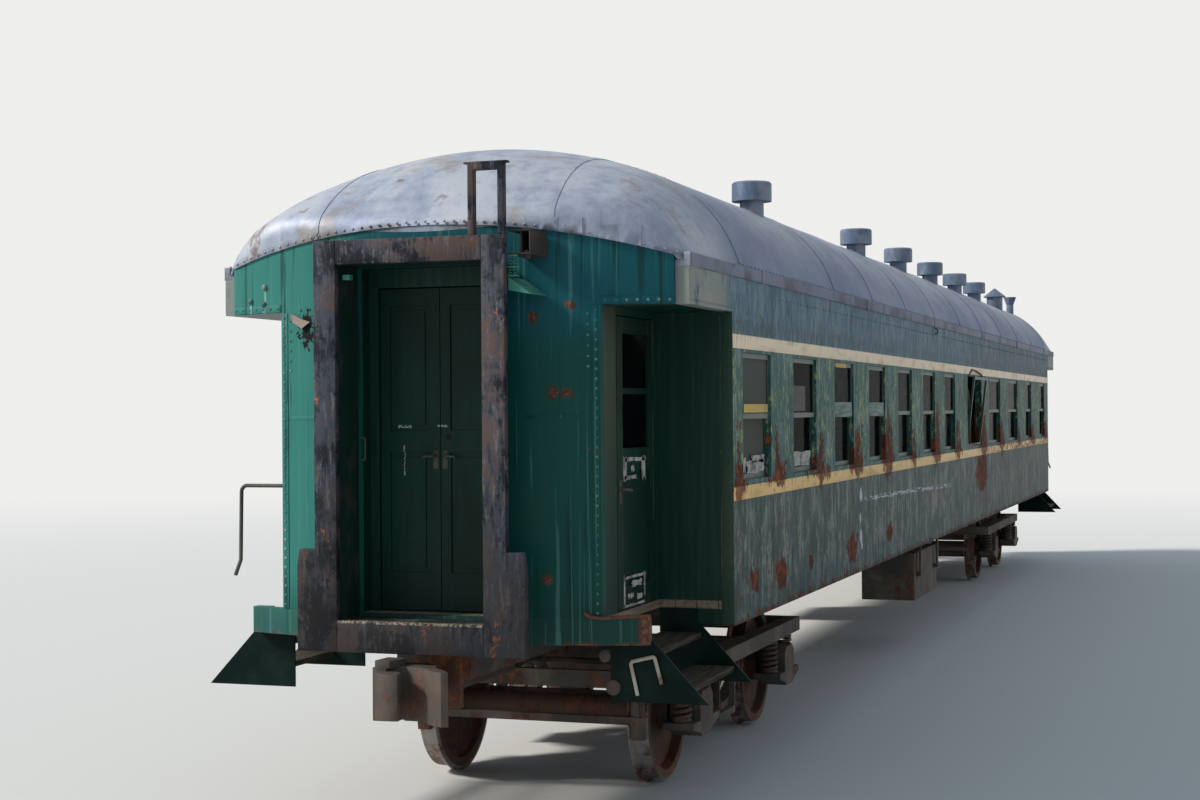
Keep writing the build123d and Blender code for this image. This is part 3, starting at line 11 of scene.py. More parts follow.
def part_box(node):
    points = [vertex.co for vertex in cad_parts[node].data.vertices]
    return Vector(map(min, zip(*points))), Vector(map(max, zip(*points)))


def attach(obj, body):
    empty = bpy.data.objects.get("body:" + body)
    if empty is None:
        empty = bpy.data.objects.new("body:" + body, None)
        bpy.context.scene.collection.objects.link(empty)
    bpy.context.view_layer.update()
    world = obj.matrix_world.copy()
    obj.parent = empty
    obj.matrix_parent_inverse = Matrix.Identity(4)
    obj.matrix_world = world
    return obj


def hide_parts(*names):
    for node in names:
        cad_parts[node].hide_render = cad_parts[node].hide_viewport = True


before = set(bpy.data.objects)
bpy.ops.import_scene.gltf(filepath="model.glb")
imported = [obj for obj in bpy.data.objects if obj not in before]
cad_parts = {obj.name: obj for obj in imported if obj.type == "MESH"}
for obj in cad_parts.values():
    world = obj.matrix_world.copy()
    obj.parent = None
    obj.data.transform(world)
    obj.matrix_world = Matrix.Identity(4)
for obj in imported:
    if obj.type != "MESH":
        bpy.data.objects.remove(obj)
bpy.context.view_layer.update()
bpy.ops.object.select_all(action="DESELECT")


# Underframe: rolled steel sills, pressed bearers and bolsters, riveted together. Its black paint is
# a crust of brown dirt and rust.
UNDERFRAME_BLACK = (0.045, 0.04, 0.036)
UNDERFRAME_DUST = (0.12, 0.095, 0.07)
RUST_DARK = (0.07, 0.028, 0.018)
RUST_BRIGHT = (0.2, 0.07, 0.028)


class Wire:
    """A shader socket that takes part in sums, each sum being a Math node."""

    def __init__(self, nodes, socket):
        self.nodes = nodes
        self.socket = socket

    def math(self, operation, first, second=0.0):
        return self.nodes.node("ShaderNodeMath", {"operation": operation}, {0: first, 1: second})

    def __add__(self, other):
        return self.math("ADD", self, other)

    def __sub__(self, other):
        return self.math("SUBTRACT", self, other)

    def __rsub__(self, other):
        return self.math("SUBTRACT", other, self)

    def __mul__(self, other):
        return self.math("MULTIPLY", self, other)

    def __abs__(self):
        return self.math("ABSOLUTE", self)

    def least(self, other):
        return self.math("MINIMUM", self, other)

    def most(self, other):
        return self.math("MAXIMUM", self, other)

    __radd__ = __add__
    __rmul__ = __mul__


class Nodes:
    """A node tree whose nodes are made in one way."""

    def __init__(self, tree):
        self.tree = tree

    def give(self, socket, value):
        """Lead a wire to a socket, or set it; colours are given without their alpha."""
        if isinstance(value, Wire):
            self.tree.links.new(value.socket, socket)
        else:
            socket.default_value = (*value, 1) if socket.type == "RGBA" else value

    def node(self, kind, settings, sockets, output=0):
        made = self.tree.nodes.new(kind)
        for key, value in settings.items():
            setattr(made, key, value)
        for key, value in sockets.items():
            self.give(made.inputs[key], value)
        return Wire(self, made.outputs[output])


class Finish(Nodes):
    """A material whose colour and relief follow the piece's own coordinates, in metres."""

    def __init__(self, name, gloss=0.5, **constants):
        self.material = bpy.data.materials.new(name)
        self.material.use_nodes = True
        super().__init__(self.material.node_tree)
        self.shader = self.tree.nodes["Principled BSDF"]
        self.give(self.shader.inputs["Specular IOR Level"], gloss)
        for key, value in constants.items():
            self.give(self.shader.inputs[key], value)
        self.place = self.node("ShaderNodeTexCoord", {}, {}, "Object")
        self.x, self.y, self.z = (
            self.node("ShaderNodeSeparateXYZ", {}, {0: self.place}, axis) for axis in range(3))

    def noise(self, per_metre, detail=4, roughness=0.6, seed=0):
        """Noise with so many features a metre, the same all ways or given along x, y and z."""
        if not isinstance(per_metre, tuple):
            per_metre = (per_metre,) * 3
        spot = self.node("ShaderNodeVectorMath", {"operation": "MULTIPLY_ADD"},
                         {0: self.place, 1: per_metre, 2: (seed, 1.7 * seed, 2.3 * seed)})
        return self.node("ShaderNodeTexNoise", {},
                         {"Vector": spot, "Scale": 1.0, "Detail": detail, "Roughness": roughness})

    def step(self, value, low, high):
        """Rises smoothly from 0 at low to 1 at high."""
        return self.node("ShaderNodeMapRange", {"interpolation_type": "SMOOTHSTEP"},
                         {"Value": value, "From Min": low, "From Max": high})

    def band(self, value, low, high, soft):
        """1 between low and high, with soft edges."""
        return self.step(value, low - soft, low + soft) * self.step(value, high + soft, high - soft)

    def front(self):
        """1 on the front end, 0 on the rear one."""
        return self.step(self.x, 0.0, -1.0)

    def left(self):
        """1 on the left side, 0 on the right one."""
        return self.step(self.y, 1.0, -1.0)

    def length(self, first, second):
        """Length of a line with these two parts at right angles."""
        line = self.node("ShaderNodeCombineXYZ", {}, {0: first, 1: second})
        return self.node("ShaderNodeVectorMath", {"operation": "LENGTH"}, {0: line}, 1)

    def mix(self, share, first, second):
        return self.node("ShaderNodeMix", {"data_type": "RGBA"}, {0: share, 6: first, 7: second}, 2)

    def lay(self, share, top):
        """Lay another colour over the one that is there."""
        self.colour = self.mix(share, self.colour, top)

    def show(self, roughness=None, height=None, depth=0.002, **others):
        """Connect the colour and what else varies to the shader."""
        wires = dict(others)
        wires["Base Color"] = self.colour
        if roughness is not None:
            wires["Roughness"] = roughness
        if height is not None:
            wires["Normal"] = self.node(
                "ShaderNodeBump", {}, {"Strength": 1.0, "Distance": depth, "Height": height})
        for key, wire in wires.items():
            self.give(self.shader.inputs[key], wire)

    def cover(self, *nodes):
        """Give the finish to CAD nodes that are shown as they are."""
        for name in nodes:
            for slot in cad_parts[name].material_slots:
                slot.material = self.material


def rust_through(f, share, seed):
    """Rust breaking through the colour over about that share of the surface. Gives back where."""
    patches = f.noise((1.9, 1.9, 1.5), 6, 0.68, seed)
    grain = f.noise(50, 2, 0.5, seed + 3)
    edge = 0.7 - 0.36 * share
    where = f.step(patches + 0.14 * grain, edge + 0.03, edge + 0.15)
    tone = f.step(f.noise((13, 13, 11), 5, 0.65, seed + 5), 0.4, 0.68)
    f.lay(where, f.mix(tone, RUST_DARK, RUST_BRIGHT))
    return where


def weathered_iron(name, paint, dust, rust_share, seed):
    """Painted iron under dirt and rust."""
    f = Finish(name, 0.4)
    f.colour = f.mix(f.step(f.noise(3, 6, 0.6, seed), 0.42, 0.66), paint, dust)
    rust = rust_through(f, rust_share, seed + 11)
    grit = f.noise(120, 3, 0.6, seed + 2)
    f.show(0.62 + 0.25 * rust + 0.12 * grit, grit + 1.5 * rust, 0.0015)
    return f


underframe_finish = weathered_iron("underframe_paint", UNDERFRAME_BLACK, UNDERFRAME_DUST, 0.45, 1)
underframe_finish.cover("underframe", "battery_boxes", "brake_reservoirs")


# Bogies: cast side beams, transoms and bolsters carried by nests of elliptic leaf springs and by
# helical springs on the axle boxes. Oil, brake dust and rust cover the castings.
BOGIE_PAINT = (0.05, 0.043, 0.038)
BOGIE_DUST = (0.13, 0.1, 0.075)
SPRING_STEEL = (0.07, 0.055, 0.045)
ENDS = ((-1, "front"), (1, "rear"))
WHEELBASE = 2.4
BOGIE_X = 7.7
AXLE_Z = 0.4855
WING_Z = 0.4455
SIDE_BEAM_Z = 0.6955
JOURNAL_Y = 0.978
COIL_OFFSET = 0.232
COIL_RADIUS = 0.053
COIL_WIRE = 0.0145
COIL_TURNS = 5.5
LEAF_TOP_Z = 0.6455
LEAF_HEIGHT = 0.34
LEAF_HALF_LENGTH = 0.45
LEAF_COUNT = 5
LEAF_THICKNESS = 0.0082
LEAF_GAP = 0.0008
LEAF_SHORTER = 0.13
LEAF_WIDTH = 0.093
LEAF_MIDDLES = (0.8125, 0.6975)
BUCKLE_LENGTH = 0.09
BUCKLE_PROUD = 0.0045
BUCKLE_DEPTH = 0.052
TREAD_RADIUS = (0.449, 0.454)


def begin():
    """Start a piece: an empty mesh at the origin, open in edit mode."""
    bpy.ops.object.select_all(action="DESELECT")
    bpy.ops.object.add(type="MESH", enter_editmode=True)


def lay_down():
    """Close the mesh in work and return it."""
    bpy.ops.object.mode_set(mode="OBJECT")
    return bpy.context.object


def applied(made, kind, **settings):
    """Apply one modifier to an object."""
    modifier = made.modifiers.new(kind, kind)
    for key, value in settings.items():
        setattr(modifier, key, value)
    bpy.ops.object.modifier_apply(modifier=kind)
    return made


def piece(name, finish, body="root", bevel=0.0, smooth=35.0, stands_for=()):
    """Finish the mesh in work: faces outwards, edges broken, finish on, riding on a body."""
    bpy.ops.mesh.select_all(action="SELECT")
    bpy.ops.mesh.normals_make_consistent(inside=False)
    made = lay_down()
    made.name = made.data.name = name
    if bevel:
        applied(made, "BEVEL", width=bevel, segments=2, limit_method="ANGLE",
                angle_limit=math.radians(40))
    made.data.materials.clear()
    made.data.materials.append(finish.material)
    bpy.ops.object.shade_smooth_by_angle(angle=math.radians(smooth))
    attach(made, body)
    if stands_for:
        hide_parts(*stands_for)
    return made


def block(low, high):
    """A block between two opposite corners."""
    low, high = Vector(low), Vector(high)
    bpy.ops.mesh.primitive_cube_add(size=1, location=(low + high) / 2,
                                    scale=[abs(side) for side in high - low])


def sheet(corners, thickness=None):
    """A face with these corners in order, drawn out into a plate by thickness if that is given."""
    bpy.ops.mesh.primitive_circle_add(vertices=len(corners), radius=1, fill_type="NGON")
    mesh = bpy.context.object.data
    rim = [vert for vert in bmesh.from_edit_mesh(mesh).verts if vert.select]
    for vert, corner in zip(rim, corners):
        vert.co = corner
    bmesh.update_edit_mesh(mesh)
    if thickness:
        bpy.ops.mesh.extrude_region_move(TRANSFORM_OT_translate={"value": thickness})


def rod(points, radius, bend=0.02, sides=10):
    """A round bar along straight runs, bent to an arc at each corner. Spin turns clockwise."""
    points = [Vector(point) for point in points]
    here = points[0]
    ahead = (points[1] - here).normalized()
    bpy.ops.mesh.primitive_circle_add(vertices=sides, radius=radius, fill_type="NGON", location=here,
                                      rotation=ahead.to_track_quat("Z", "Y").to_euler())
    for corner, after in zip(points[1:], points[2:]):
        leaving = (after - corner).normalized()
        turn = ahead.angle(leaving)
        reach = bend * math.tan(turn / 2)
        stop = corner - ahead * reach
        axis = ahead.cross(leaving).normalized()
        bpy.ops.mesh.extrude_region_move(TRANSFORM_OT_translate={"value": stop - here})
        bpy.ops.mesh.spin(steps=max(2, round(math.degrees(turn) / 18)), angle=-turn,
                          center=stop + axis.cross(ahead) * bend, axis=axis)
        here = corner + leaving * reach
        ahead = leaving
    bpy.ops.mesh.extrude_region_move(TRANSFORM_OT_translate={"value": points[-1] - here})


def coil(radius, wire, height, turns, steps, sides=8):
    """A helical spring round the z axis, standing on z = 0, its ends closed by a flat turn."""
    begin()
    bpy.ops.mesh.primitive_circle_add(vertices=sides, radius=wire, location=(radius, 0, wire),
                                      rotation=(math.pi / 2, 0, 0))
    applied(lay_down(), "SCREW", angle=math.tau * turns, screw_offset=height - 2 * wire, steps=steps,
            render_steps=steps)
    bpy.ops.object.mode_set(mode="EDIT")
    bpy.ops.mesh.select_all(action="SELECT")
    bpy.ops.mesh.fill_holes(sides=0)
    for z in (wire, height - wire):
        bpy.ops.mesh.primitive_torus_add(major_radius=radius, minor_radius=wire, major_segments=20,
                                         minor_segments=sides, location=(0, 0, z))
    return lay_down()


def copied(pattern, places):
    """A new object that repeats the pattern's mesh at each place."""
    points = [vert.co for vert in pattern.data.vertices]
    faces = [list(face.vertices) for face in pattern.data.polygons]
    all_points, all_faces = [], []
    for place in places:
        all_faces += [[index + len(all_points) for index in face] for face in faces]
        all_points += [place @ point for point in points]
    mesh = bpy.data.meshes.new(pattern.name)
    mesh.from_pydata(all_points, [], all_faces)
    made = bpy.data.objects.new(pattern.name, mesh)
    bpy.context.scene.collection.objects.link(made)
    return made


def join(*objects):
    """The objects as one mesh, open in edit mode."""
    bpy.ops.object.select_all(action="DESELECT")
    for item in objects:
        item.select_set(True)
    bpy.context.view_layer.objects.active = objects[0]
    bpy.ops.object.join()
    bpy.ops.object.mode_set(mode="EDIT")


axle_spring = coil(COIL_RADIUS, COIL_WIRE, SIDE_BEAM_Z - WING_Z, COIL_TURNS, 96)

# Each leaf is a flat bar spun about the centre of its arc. The two halves of a nest are alike.
LEAF_ARC_RADIUS = (LEAF_HALF_LENGTH ** 2 + (LEAF_HEIGHT / 2) ** 2) / LEAF_HEIGHT
LEAF_ARC_DEPTH = LEAF_ARC_RADIUS - LEAF_HEIGHT / 2
longest = math.acos(LEAF_ARC_DEPTH / (LEAF_ARC_RADIUS - LEAF_THICKNESS))
half_leaf = LEAF_WIDTH / 2
begin()
for leaf in range(LEAF_COUNT):
    outer = LEAF_ARC_RADIUS - leaf * (LEAF_THICKNESS + LEAF_GAP)
    half_angle = longest * (1 - LEAF_SHORTER * leaf)
    foot = Vector((-math.sin(half_angle), 0, math.cos(half_angle)))
    inner = outer - LEAF_THICKNESS
    sheet([foot * r + Vector((0, y, -LEAF_ARC_DEPTH)) for r, y in (
        (outer, -half_leaf), (outer, half_leaf), (inner, half_leaf), (inner, -half_leaf))])
    bpy.ops.mesh.spin(steps=16, angle=-2 * half_angle, center=(0, 0, -LEAF_ARC_DEPTH), axis=(0, 1, 0))
block((-BUCKLE_LENGTH / 2, -half_leaf - BUCKLE_PROUD, LEAF_HEIGHT / 2 - BUCKLE_DEPTH),
      (BUCKLE_LENGTH / 2, half_leaf + BUCKLE_PROUD, LEAF_HEIGHT / 2))
half_nest = lay_down()

bogie_finish = weathered_iron("bogie_casting", BOGIE_PAINT, BOGIE_DUST, 0.45, 7)
spring_finish = weathered_iron("spring_steel", SPRING_STEEL, BOGIE_DUST, 0.5, 9)
for end, end_name in ENDS:
    bogie = "bogie_" + end_name
    x = end * BOGIE_X
    bogie_finish.cover(bogie + "_frame", bogie + "_axle_boxes", bogie + "_brake_gear")
    coils = copied(axle_spring, [
        Matrix.Translation(
            (x + axle * WHEELBASE / 2 + beside * COIL_OFFSET, side * JOURNAL_Y, WING_Z))
        for axle in (-1, 1) for beside in (-1, 1) for side in (-1, 1)])
    nests = copied(half_nest, [
        Matrix.Translation((x, side * middle, LEAF_TOP_Z - LEAF_HEIGHT / 2))
        @ Matrix.Rotation(turn, 4, "X")
        for side in (-1, 1) for middle in LEAF_MIDDLES for turn in (0, math.pi)])
    join(coils, nests)
    piece("springs_" + end_name, spring_finish, bogie, stands_for=(bogie + "_springs",))
for pattern in (axle_spring, half_nest):
    bpy.data.objects.remove(pattern)

f = Finish("wheel_steel", Metallic=0.35)
from_axle = f.length(abs(abs(abs(f.x) - BOGIE_X) - WHEELBASE / 2), f.z - AXLE_Z)
tread = f.step(from_axle, *TREAD_RADIUS) * f.step(f.noise(4, 4, 0.6, 3), 0.34, 0.5)
f.colour = f.mix(tread, (0.1, 0.062, 0.042), (0.3, 0.27, 0.25))
rust_through(f, 0.5, 4)
f.show(0.75 - 0.3 * tread, f.noise(90, 3), 0.0008)
f.cover("wheelset_1", "wheelset_2", "wheelset_3", "wheelset_4")


# Side walls: riveted steel sheet between window posts. The oil paint has weathered to a blue grey
# green that peels in vertical streaks; rust runs down from the window corners.
SIDE_HIGH = (0.055, 0.128, 0.185)
SIDE_MIDDLE = (0.02, 0.098, 0.086)
SIDE_LOW = (0.04, 0.068, 0.063)
SIDE_PEELED = (0.38, 0.43, 0.18)
SIDE_CHALKY = (0.21, 0.27, 0.27)
SIDE_TAN = (0.25, 0.23, 0.17)
SIDE_GRIME = (0.012, 0.034, 0.032)
SIDE_BEIGE = (0.27, 0.28, 0.24)
SIDE_RUST = (0.09, 0.028, 0.018)
SIDE_RUST_BRIGHT = (0.33, 0.085, 0.03)
SCRAPE = (0.6, 0.64, 0.68)
# Rust that has eaten through the lower wall: x, z and half width.
RUST_BLOTS = ((-9.25, 1.39, 0.16), (-8.5, 1.385, 0.21), (-7.57, 1.39, 0.1), (-6.07, 1.385, 0.25),
              (-4.37, 1.4, 0.17), (1.75, 1.75, 0.55))
WHITE_SPLASHES = ((-5.68, 1.79, 0.06), (-5.71, 1.6, 0.04), (-5.69, 1.44, 0.06), (-5.66, 1.37, 0.035))
WINDOW_WIDTHS = (0.74,) * 7 + (1.18, 1.12, 1.08, 0.74, 0.74)
WINDOW_SPACES = (1.0,) * 6 + (1.394, 1.309, 1.394, 1.387, 1.344)
FIRST_WINDOW_X = -9.12
LAST_WINDOW_X = 8.82
WINDOW_Z = 2.048
WINDOW_TOP_Z = 2.858
RECESS_X = 9.735
SIDE_Y = 1.502
UPPER_BELT = (2.879, 2.967)
LOWER_BELT = (1.929, 2.015)

window_middles = [FIRST_WINDOW_X]
pitch = (LAST_WINDOW_X - FIRST_WINDOW_X) / sum(WINDOW_SPACES)
for share in WINDOW_SPACES:
    window_middles.append(window_middles[-1] + share * pitch)


def corner_rust(f, seed):
    """Rust spreading from the windows' lower corners, and the distance to the nearest corner."""
    near = reduce(Wire.least, (
        abs(f.x - (middle + width / 2 + 0.15))
        for middle, width in zip(window_middles, WINDOW_WIDTHS)))
    near = near.least(abs(f.x - (window_middles[0] - 0.47)) + 0.08)
    above = f.z - (WINDOW_Z - 0.03)
    reach = 3.0 * near + (above * 2.5).most(above * -8.0)
    rough = f.noise((7, 7, 6), 7, 0.76, seed) - 0.5
    uneven = f.noise((1.0, 1.0, 0.05), 2, 0.5, seed + 1) - 0.5
    return f.step(reach + 4.6 * rough + 3.0 * uneven, 0.92, 0.8), near


def rust_tone(f, seed):
    """Dark rust with brighter flakes."""
    return f.mix(f.step(f.noise((22, 22, 12), 5, 0.65, seed), 0.5, 0.64), SIDE_RUST, SIDE_RUST_BRIGHT)


f = side_finish = Finish("side_paint", 0.08)
cloud = f.noise((0.9, 0.9, 1.3), 5, 0.62, 21)
patches = f.noise((3.6, 3.6, 3.0), 8, 0.78, 24) - 0.5
streaks = f.noise((14, 14, 3.4), 7, 0.74, 22)
fine = f.noise((48, 48, 6.5), 4, 0.68, 23) - 0.5
flecks = f.noise((40, 40, 11), 4, 0.66, 32)
f.colour = f.mix(f.step(f.z + 0.15 * cloud, 2.1, 1.94), SIDE_MIDDLE, SIDE_LOW)
f.lay(f.step(f.z + 0.1 * cloud, 2.92, 3.03), SIDE_HIGH)
worn = streaks + 0.8 * patches + 0.45 * fine
f.lay(0.62 * f.step(worn, 0.47, 0.68), SIDE_CHALKY)
tan_zone = f.band(f.z, 1.4, 1.85, 0.14)
f.lay(0.6 * tan_zone * f.step(worn + 0.3 * (cloud - 0.5), 0.52, 0.64), SIDE_TAN)
f.lay(0.6 * f.step(worn, 0.5, 0.32), SIDE_GRIME)
f.lay(0.35 * f.step(f.x + 3 * cloud, -2.0, 7.0) * f.left(), SIDE_GRIME)
window_zone = f.band(f.z, 2.1, 2.86, 0.12)
fascia_foot = f.band(f.z, 2.95, 3.1, 0.07)
drips = f.step(fine + 0.8 * patches + 0.16 * fascia_foot, 0.17, 0.24) * f.step(f.z, 2.9, 2.97)
f.lay(0.75 * drips, SIDE_GRIME)
dashes = f.step(f.noise((55, 55, 7), 2, 0.5, 33) + 0.1 * patches, 0.665, 0.7)
f.lay(0.8 * dashes * f.step(abs(f.z - 2.45), 0.42, 0.5), (0.022, 0.016, 0.013))
peel = f.step(flecks + 0.6 * patches + 0.1 * window_zone + 0.04 * tan_zone, 0.66, 0.72)
f.lay(0.85 * peel, f.mix(window_zone, (0.34, 0.36, 0.3), SIDE_PEELED))
beige = f.step(abs(f.x), 9.75, 9.95) * f.step(f.noise((5, 5, 3), 5, 0.65, 25), 0.34, 0.48)
f.lay(0.85 * beige, SIDE_BEIGE)
corners, near_corner = corner_rust(f, 26)
ragged = f.noise((9, 9, 6), 6, 0.72, 28)
blots = f.step(0.8 * ragged + 0.35 * patches - 0.09 * f.z, 0.375, 0.4) * f.step(f.z, 1.85, 1.65)
for x, z, half_width in RUST_BLOTS:
    off = f.length((f.x - x) * (1 / half_width), (f.z - z) * (1.7 / half_width))
    blots = blots.most(f.step(off + 3.2 * (ragged - 0.5), 0.85, 0.72) * f.left())
runs = f.step(f.noise((42, 42, 0.8), 3, 0.6, 29), 0.58, 0.68) * f.step(f.z, 1.98, 1.9)
runs = runs * f.step(near_corner + 0.8 * cloud, 0.72, 0.5)
foot = f.step(f.z - 0.3 * (f.noise((7, 7, 3), 5, 0.65, 30) - 0.5), 1.195, 1.165)
rust = corners.most(blots).most(0.7 * runs).most(0.7 * foot)
f.lay(0.94 * rust, rust_tone(f, 31))
scrape = f.band(f.z + 0.0158 * f.x + 0.06 * patches, 1.645, 1.68, 0.008)
scrape = scrape * f.band(f.x, -5.5, -0.8, 0.2) * f.left()
scrape = scrape * f.step(f.noise((9, 9, 50), 4, 0.6, 34), 0.46, 0.58)
for x, z, half_width in WHITE_SPLASHES:
    off = f.length((f.x - x) * (1 / half_width), (f.z - z) * (0.9 / half_width))
    scrape = scrape.most(f.step(off + 2.2 * fine, 1.0, 0.7) * f.left())
f.lay(0.85 * scrape, SCRAPE)
dents = f.noise((1.6, 1.6, 1.1), 2, 0.5, 27)
f.show(0.5 + 0.3 * rust + 0.15 * peel, 9.0 * dents + 0.5 * peel + 0.6 * rust, 0.003)
f.cover("side_wall_left", "side_wall_right")

# Belts: two rolled strips riveted along the wall, over and under the windows, painted cream and
# ochre from doorway to doorway. Rust from the window corners runs down over the lower one.
BELT_PROUD = 0.005
for name, paint, stained, (z0, z1), seed in (
    ("cream", (0.88, 0.7, 0.5), (0.6, 0.45, 0.31), UPPER_BELT, 33),
    ("ochre", (0.88, 0.56, 0.22), (0.58, 0.36, 0.15), LOWER_BELT, 36),
):
    f = Finish(name + "_belt_paint", 0.35)
    f.colour = f.mix(f.step(f.noise((2.3, 2.3, 9), 6, 0.65, seed), 0.46, 0.7), paint, stained)
    drips = f.step(f.noise((40, 40, 1.2), 3, 0.6, seed + 1) + 1.6 * (f.z - z1), 0.55, 0.62)
    if name == "cream":
        worn = 0.35 * drips
    else:
        corners = corner_rust(f, 26)[0]
        far_end = f.step(f.x + 3.0 * f.noise(1.2, 3, 0.5, seed + 2), 2.6, 6.0)
        worn = corners.most(0.8 * drips).most(
            far_end * f.step(f.noise((9, 9, 20), 5, 0.65, seed + 3), 0.47, 0.56))
    f.lay(0.9 * worn, rust_tone(f, 31))
    f.show(0.5 + 0.3 * worn, f.noise(70, 2) + worn, 0.0006)
    begin()
    for side in (-1, 1):
        outer = side * (SIDE_Y + BELT_PROUD)
        block((-RECESS_X, side * SIDE_Y, z0), (RECESS_X, outer, z1))
    piece(name + "_belts", f, bevel=0.002)

# Doorway edges: an olive strip riveted over the wall's end at each doorway.
OLIVE = (0.012, 0.042, 0.026)
STRIP_THICKNESS = 0.004
WALL_INNER_Y = 1.422
SIDE_END_X = 10.66
FASCIA_SEAM_Z = 3.128


def pick(test):
    """Select the faces of the mesh in work that pass a test, and no others."""
    bpy.ops.mesh.select_all(action="DESELECT")
    mesh = bpy.context.object.data
    shape = bmesh.from_edit_mesh(mesh)
    for face in shape.faces:
        if test(face):
            face.select_set(True)
    shape.select_flush_mode()
    bmesh.update_edit_mesh(mesh)


def rivets(spots, radius=0.009, height=0.005, sides=6):
    """A rivet's head, copied to each spot: a point and the direction it faces."""
    begin()
    bpy.ops.mesh.primitive_cylinder_add(
        vertices=sides, radius=radius, depth=height, location=(0, 0, 0))
    pick(lambda face: face.normal.z > 0.9)
    bpy.ops.mesh.inset(thickness=0.45 * radius, depth=0.45 * height)
    head = lay_down()
    rows = copied(head, [
        Matrix.Translation(point) @ Vector(outward).to_track_quat("Z", "Y").to_matrix().to_4x4()
        for point, outward in spots])
    bpy.data.objects.remove(head)
    join(rows)


def spaced(first, last, pitch):
    """Evenly spaced values from first to last, about pitch apart."""
    count = max(1, round(abs(last - first) / pitch))
    return [first + (last - first) * index / count for index in range(count + 1)]


CORNERS = [(end, side) for end in (-1, 1) for side in (-1, 1)]
olive_finish = weathered_iron("olive_strip", OLIVE, (0.028, 0.056, 0.028), 0.15, 41)
begin()
strip_rivets = []
for end, side in CORNERS:
    outer = end * (RECESS_X + STRIP_THICKNESS)
    block((end * RECESS_X, side * (WALL_INNER_Y + 0.004), 1.17), (outer, side * SIDE_Y, 3.1))
    for z in spaced(1.2, 3.07, 0.075):
        strip_rivets.append(((outer, side * (SIDE_Y - 0.024), z), (end, 0, 0)))
piece("doorway_edge_strips", olive_finish, bevel=0.0012)
rivets(strip_rivets, 0.009, 0.004)
piece("doorway_edge_rivets", olive_finish)

side_rivets = []
for side in (-1, 1):
    for end in (-1, 1):
        for x in spaced(9.78, SIDE_END_X, 0.045):
            side_rivets.append(((end * x, side * SIDE_Y, FASCIA_SEAM_Z), (0, side, 0)))
        for z in spaced(3.16, 3.3, 0.045):
            side_rivets.append(((end * SIDE_END_X, side * SIDE_Y, z), (0, side, 0)))
    for x in spaced(-8.5, 9.55, 0.11):
        side_rivets.append(((x, side * SIDE_Y, 3.241), (0, side, 0)))
    for x in spaced(-9.55, 9.55, 0.16):
        side_rivets.append(((x, side * SIDE_Y, 1.185), (0, side, 0)))
rivets(side_rivets, 0.008, 0.004)
piece("side_rivets", side_finish)


# Windows: dropping sashes in dark green reveals, with dusty glass, darkened in part by painted shade;
# two rails have faded pale. Boards stand behind the first window, torn paper hangs in two, and the
# damaged one keeps a bent sash.
SASH_GREEN = (0.01, 0.038, 0.03)
SASH_WORN = (0.022, 0.06, 0.048)
SASH_FADED = (0.2, 0.27, 0.24)
GLASS_TINT_AND_PAINTED_SHADE = (0.004, 0.006, 0.007)
GLASS_DUST = (0.16, 0.165, 0.14)
MEETING_Z = (WINDOW_Z + WINDOW_TOP_Z) / 2
FADED_RAILS = (2, 3)
CORNER_NAMES = ("front_left", "front_right", "rear_left", "rear_right")
BOARD_Y = -1.4385
BOARD_THICKNESS = 0.008
BOARD_HALF_WIDTH = 0.36
BOARD_GAP = 0.003
RAIL_BOARD_Y = (-1.4935, -1.4885)
RAIL_BOARD_HALF_WIDTH = 0.335
SLIP_Y = (-1.489, -1.4883)
PAPER_Y = -1.4655

f = Finish("sash_paint", 0.45)
f.colour = f.mix(f.step(f.noise((8, 8, 5), 6, 0.65, 51), 0.42, 0.62), SASH_GREEN, SASH_WORN)
faded = reduce(Wire.most, (
    f.step(abs(f.x - window_middles[index]), 0.4, 0.36) for index in FADED_RAILS))
faded = faded * f.left() * f.band(f.z, MEETING_Z - 0.03, MEETING_Z + 0.03, 0.002)
f.lay(0.85 * faded, SASH_FADED)
sash_rust = rust_through(f, 0.12, 52)
f.show(0.45 + 0.3 * sash_rust, f.noise(60, 3) + sash_rust, 0.0008)
f.cover("window_sashes_left", "window_sashes_right")

f = Finish("dusty_glass", 0.1, IOR=1.08)
grit = f.noise((20, 20, 5), 3, 0.6, 54)
dust = f.step(f.noise((1.3, 1.3, 2.2), 6, 0.6, 53) + 0.15 * grit, 0.6, 1.02)
dust = dust.most(0.75 * f.step(f.x, -8.55, -8.65) * f.step(f.x, -9.6, -9.5))
# The clean glass is near black and half opaque: a tint together with painted shade that darkens the
# view into the saloon.
f.colour = f.mix(dust, GLASS_TINT_AND_PAINTED_SHADE, GLASS_DUST)
f.show(0.07 + 0.4 * dust, Alpha=0.5 + 0.35 * dust)
f.material.surface_render_method = "BLENDED"
f.cover("window_glass_left", "window_glass_right")
f.cover(*("side_door_glass_" + corner for corner in CORNER_NAMES))

f = board_finish = Finish("window_board", Roughness=0.8)
board_grain = f.noise((5, 40, 3), 5, 0.65, 55)
upper_board = f.step(f.z, MEETING_Z - 0.02, MEETING_Z + 0.02)
f.colour = f.mix(upper_board, (0.42, 0.45, 0.34), (0.45, 0.43, 0.38))
f.lay(f.step(board_grain, 0.4, 0.7), (0.12, 0.125, 0.1))
f.show(None, board_grain, 0.001)
first, second, third = window_middles[:3]
begin()
for z0, z1 in (
    (WINDOW_Z + 0.005, MEETING_Z - BOARD_GAP), (MEETING_Z + BOARD_GAP, WINDOW_TOP_Z - 0.005),
):
    block((first - BOARD_HALF_WIDTH, BOARD_Y, z0),
          (first + BOARD_HALF_WIDTH, BOARD_Y + BOARD_THICKNESS, z1))
piece("window_boards", board_finish, bevel=0.0015)

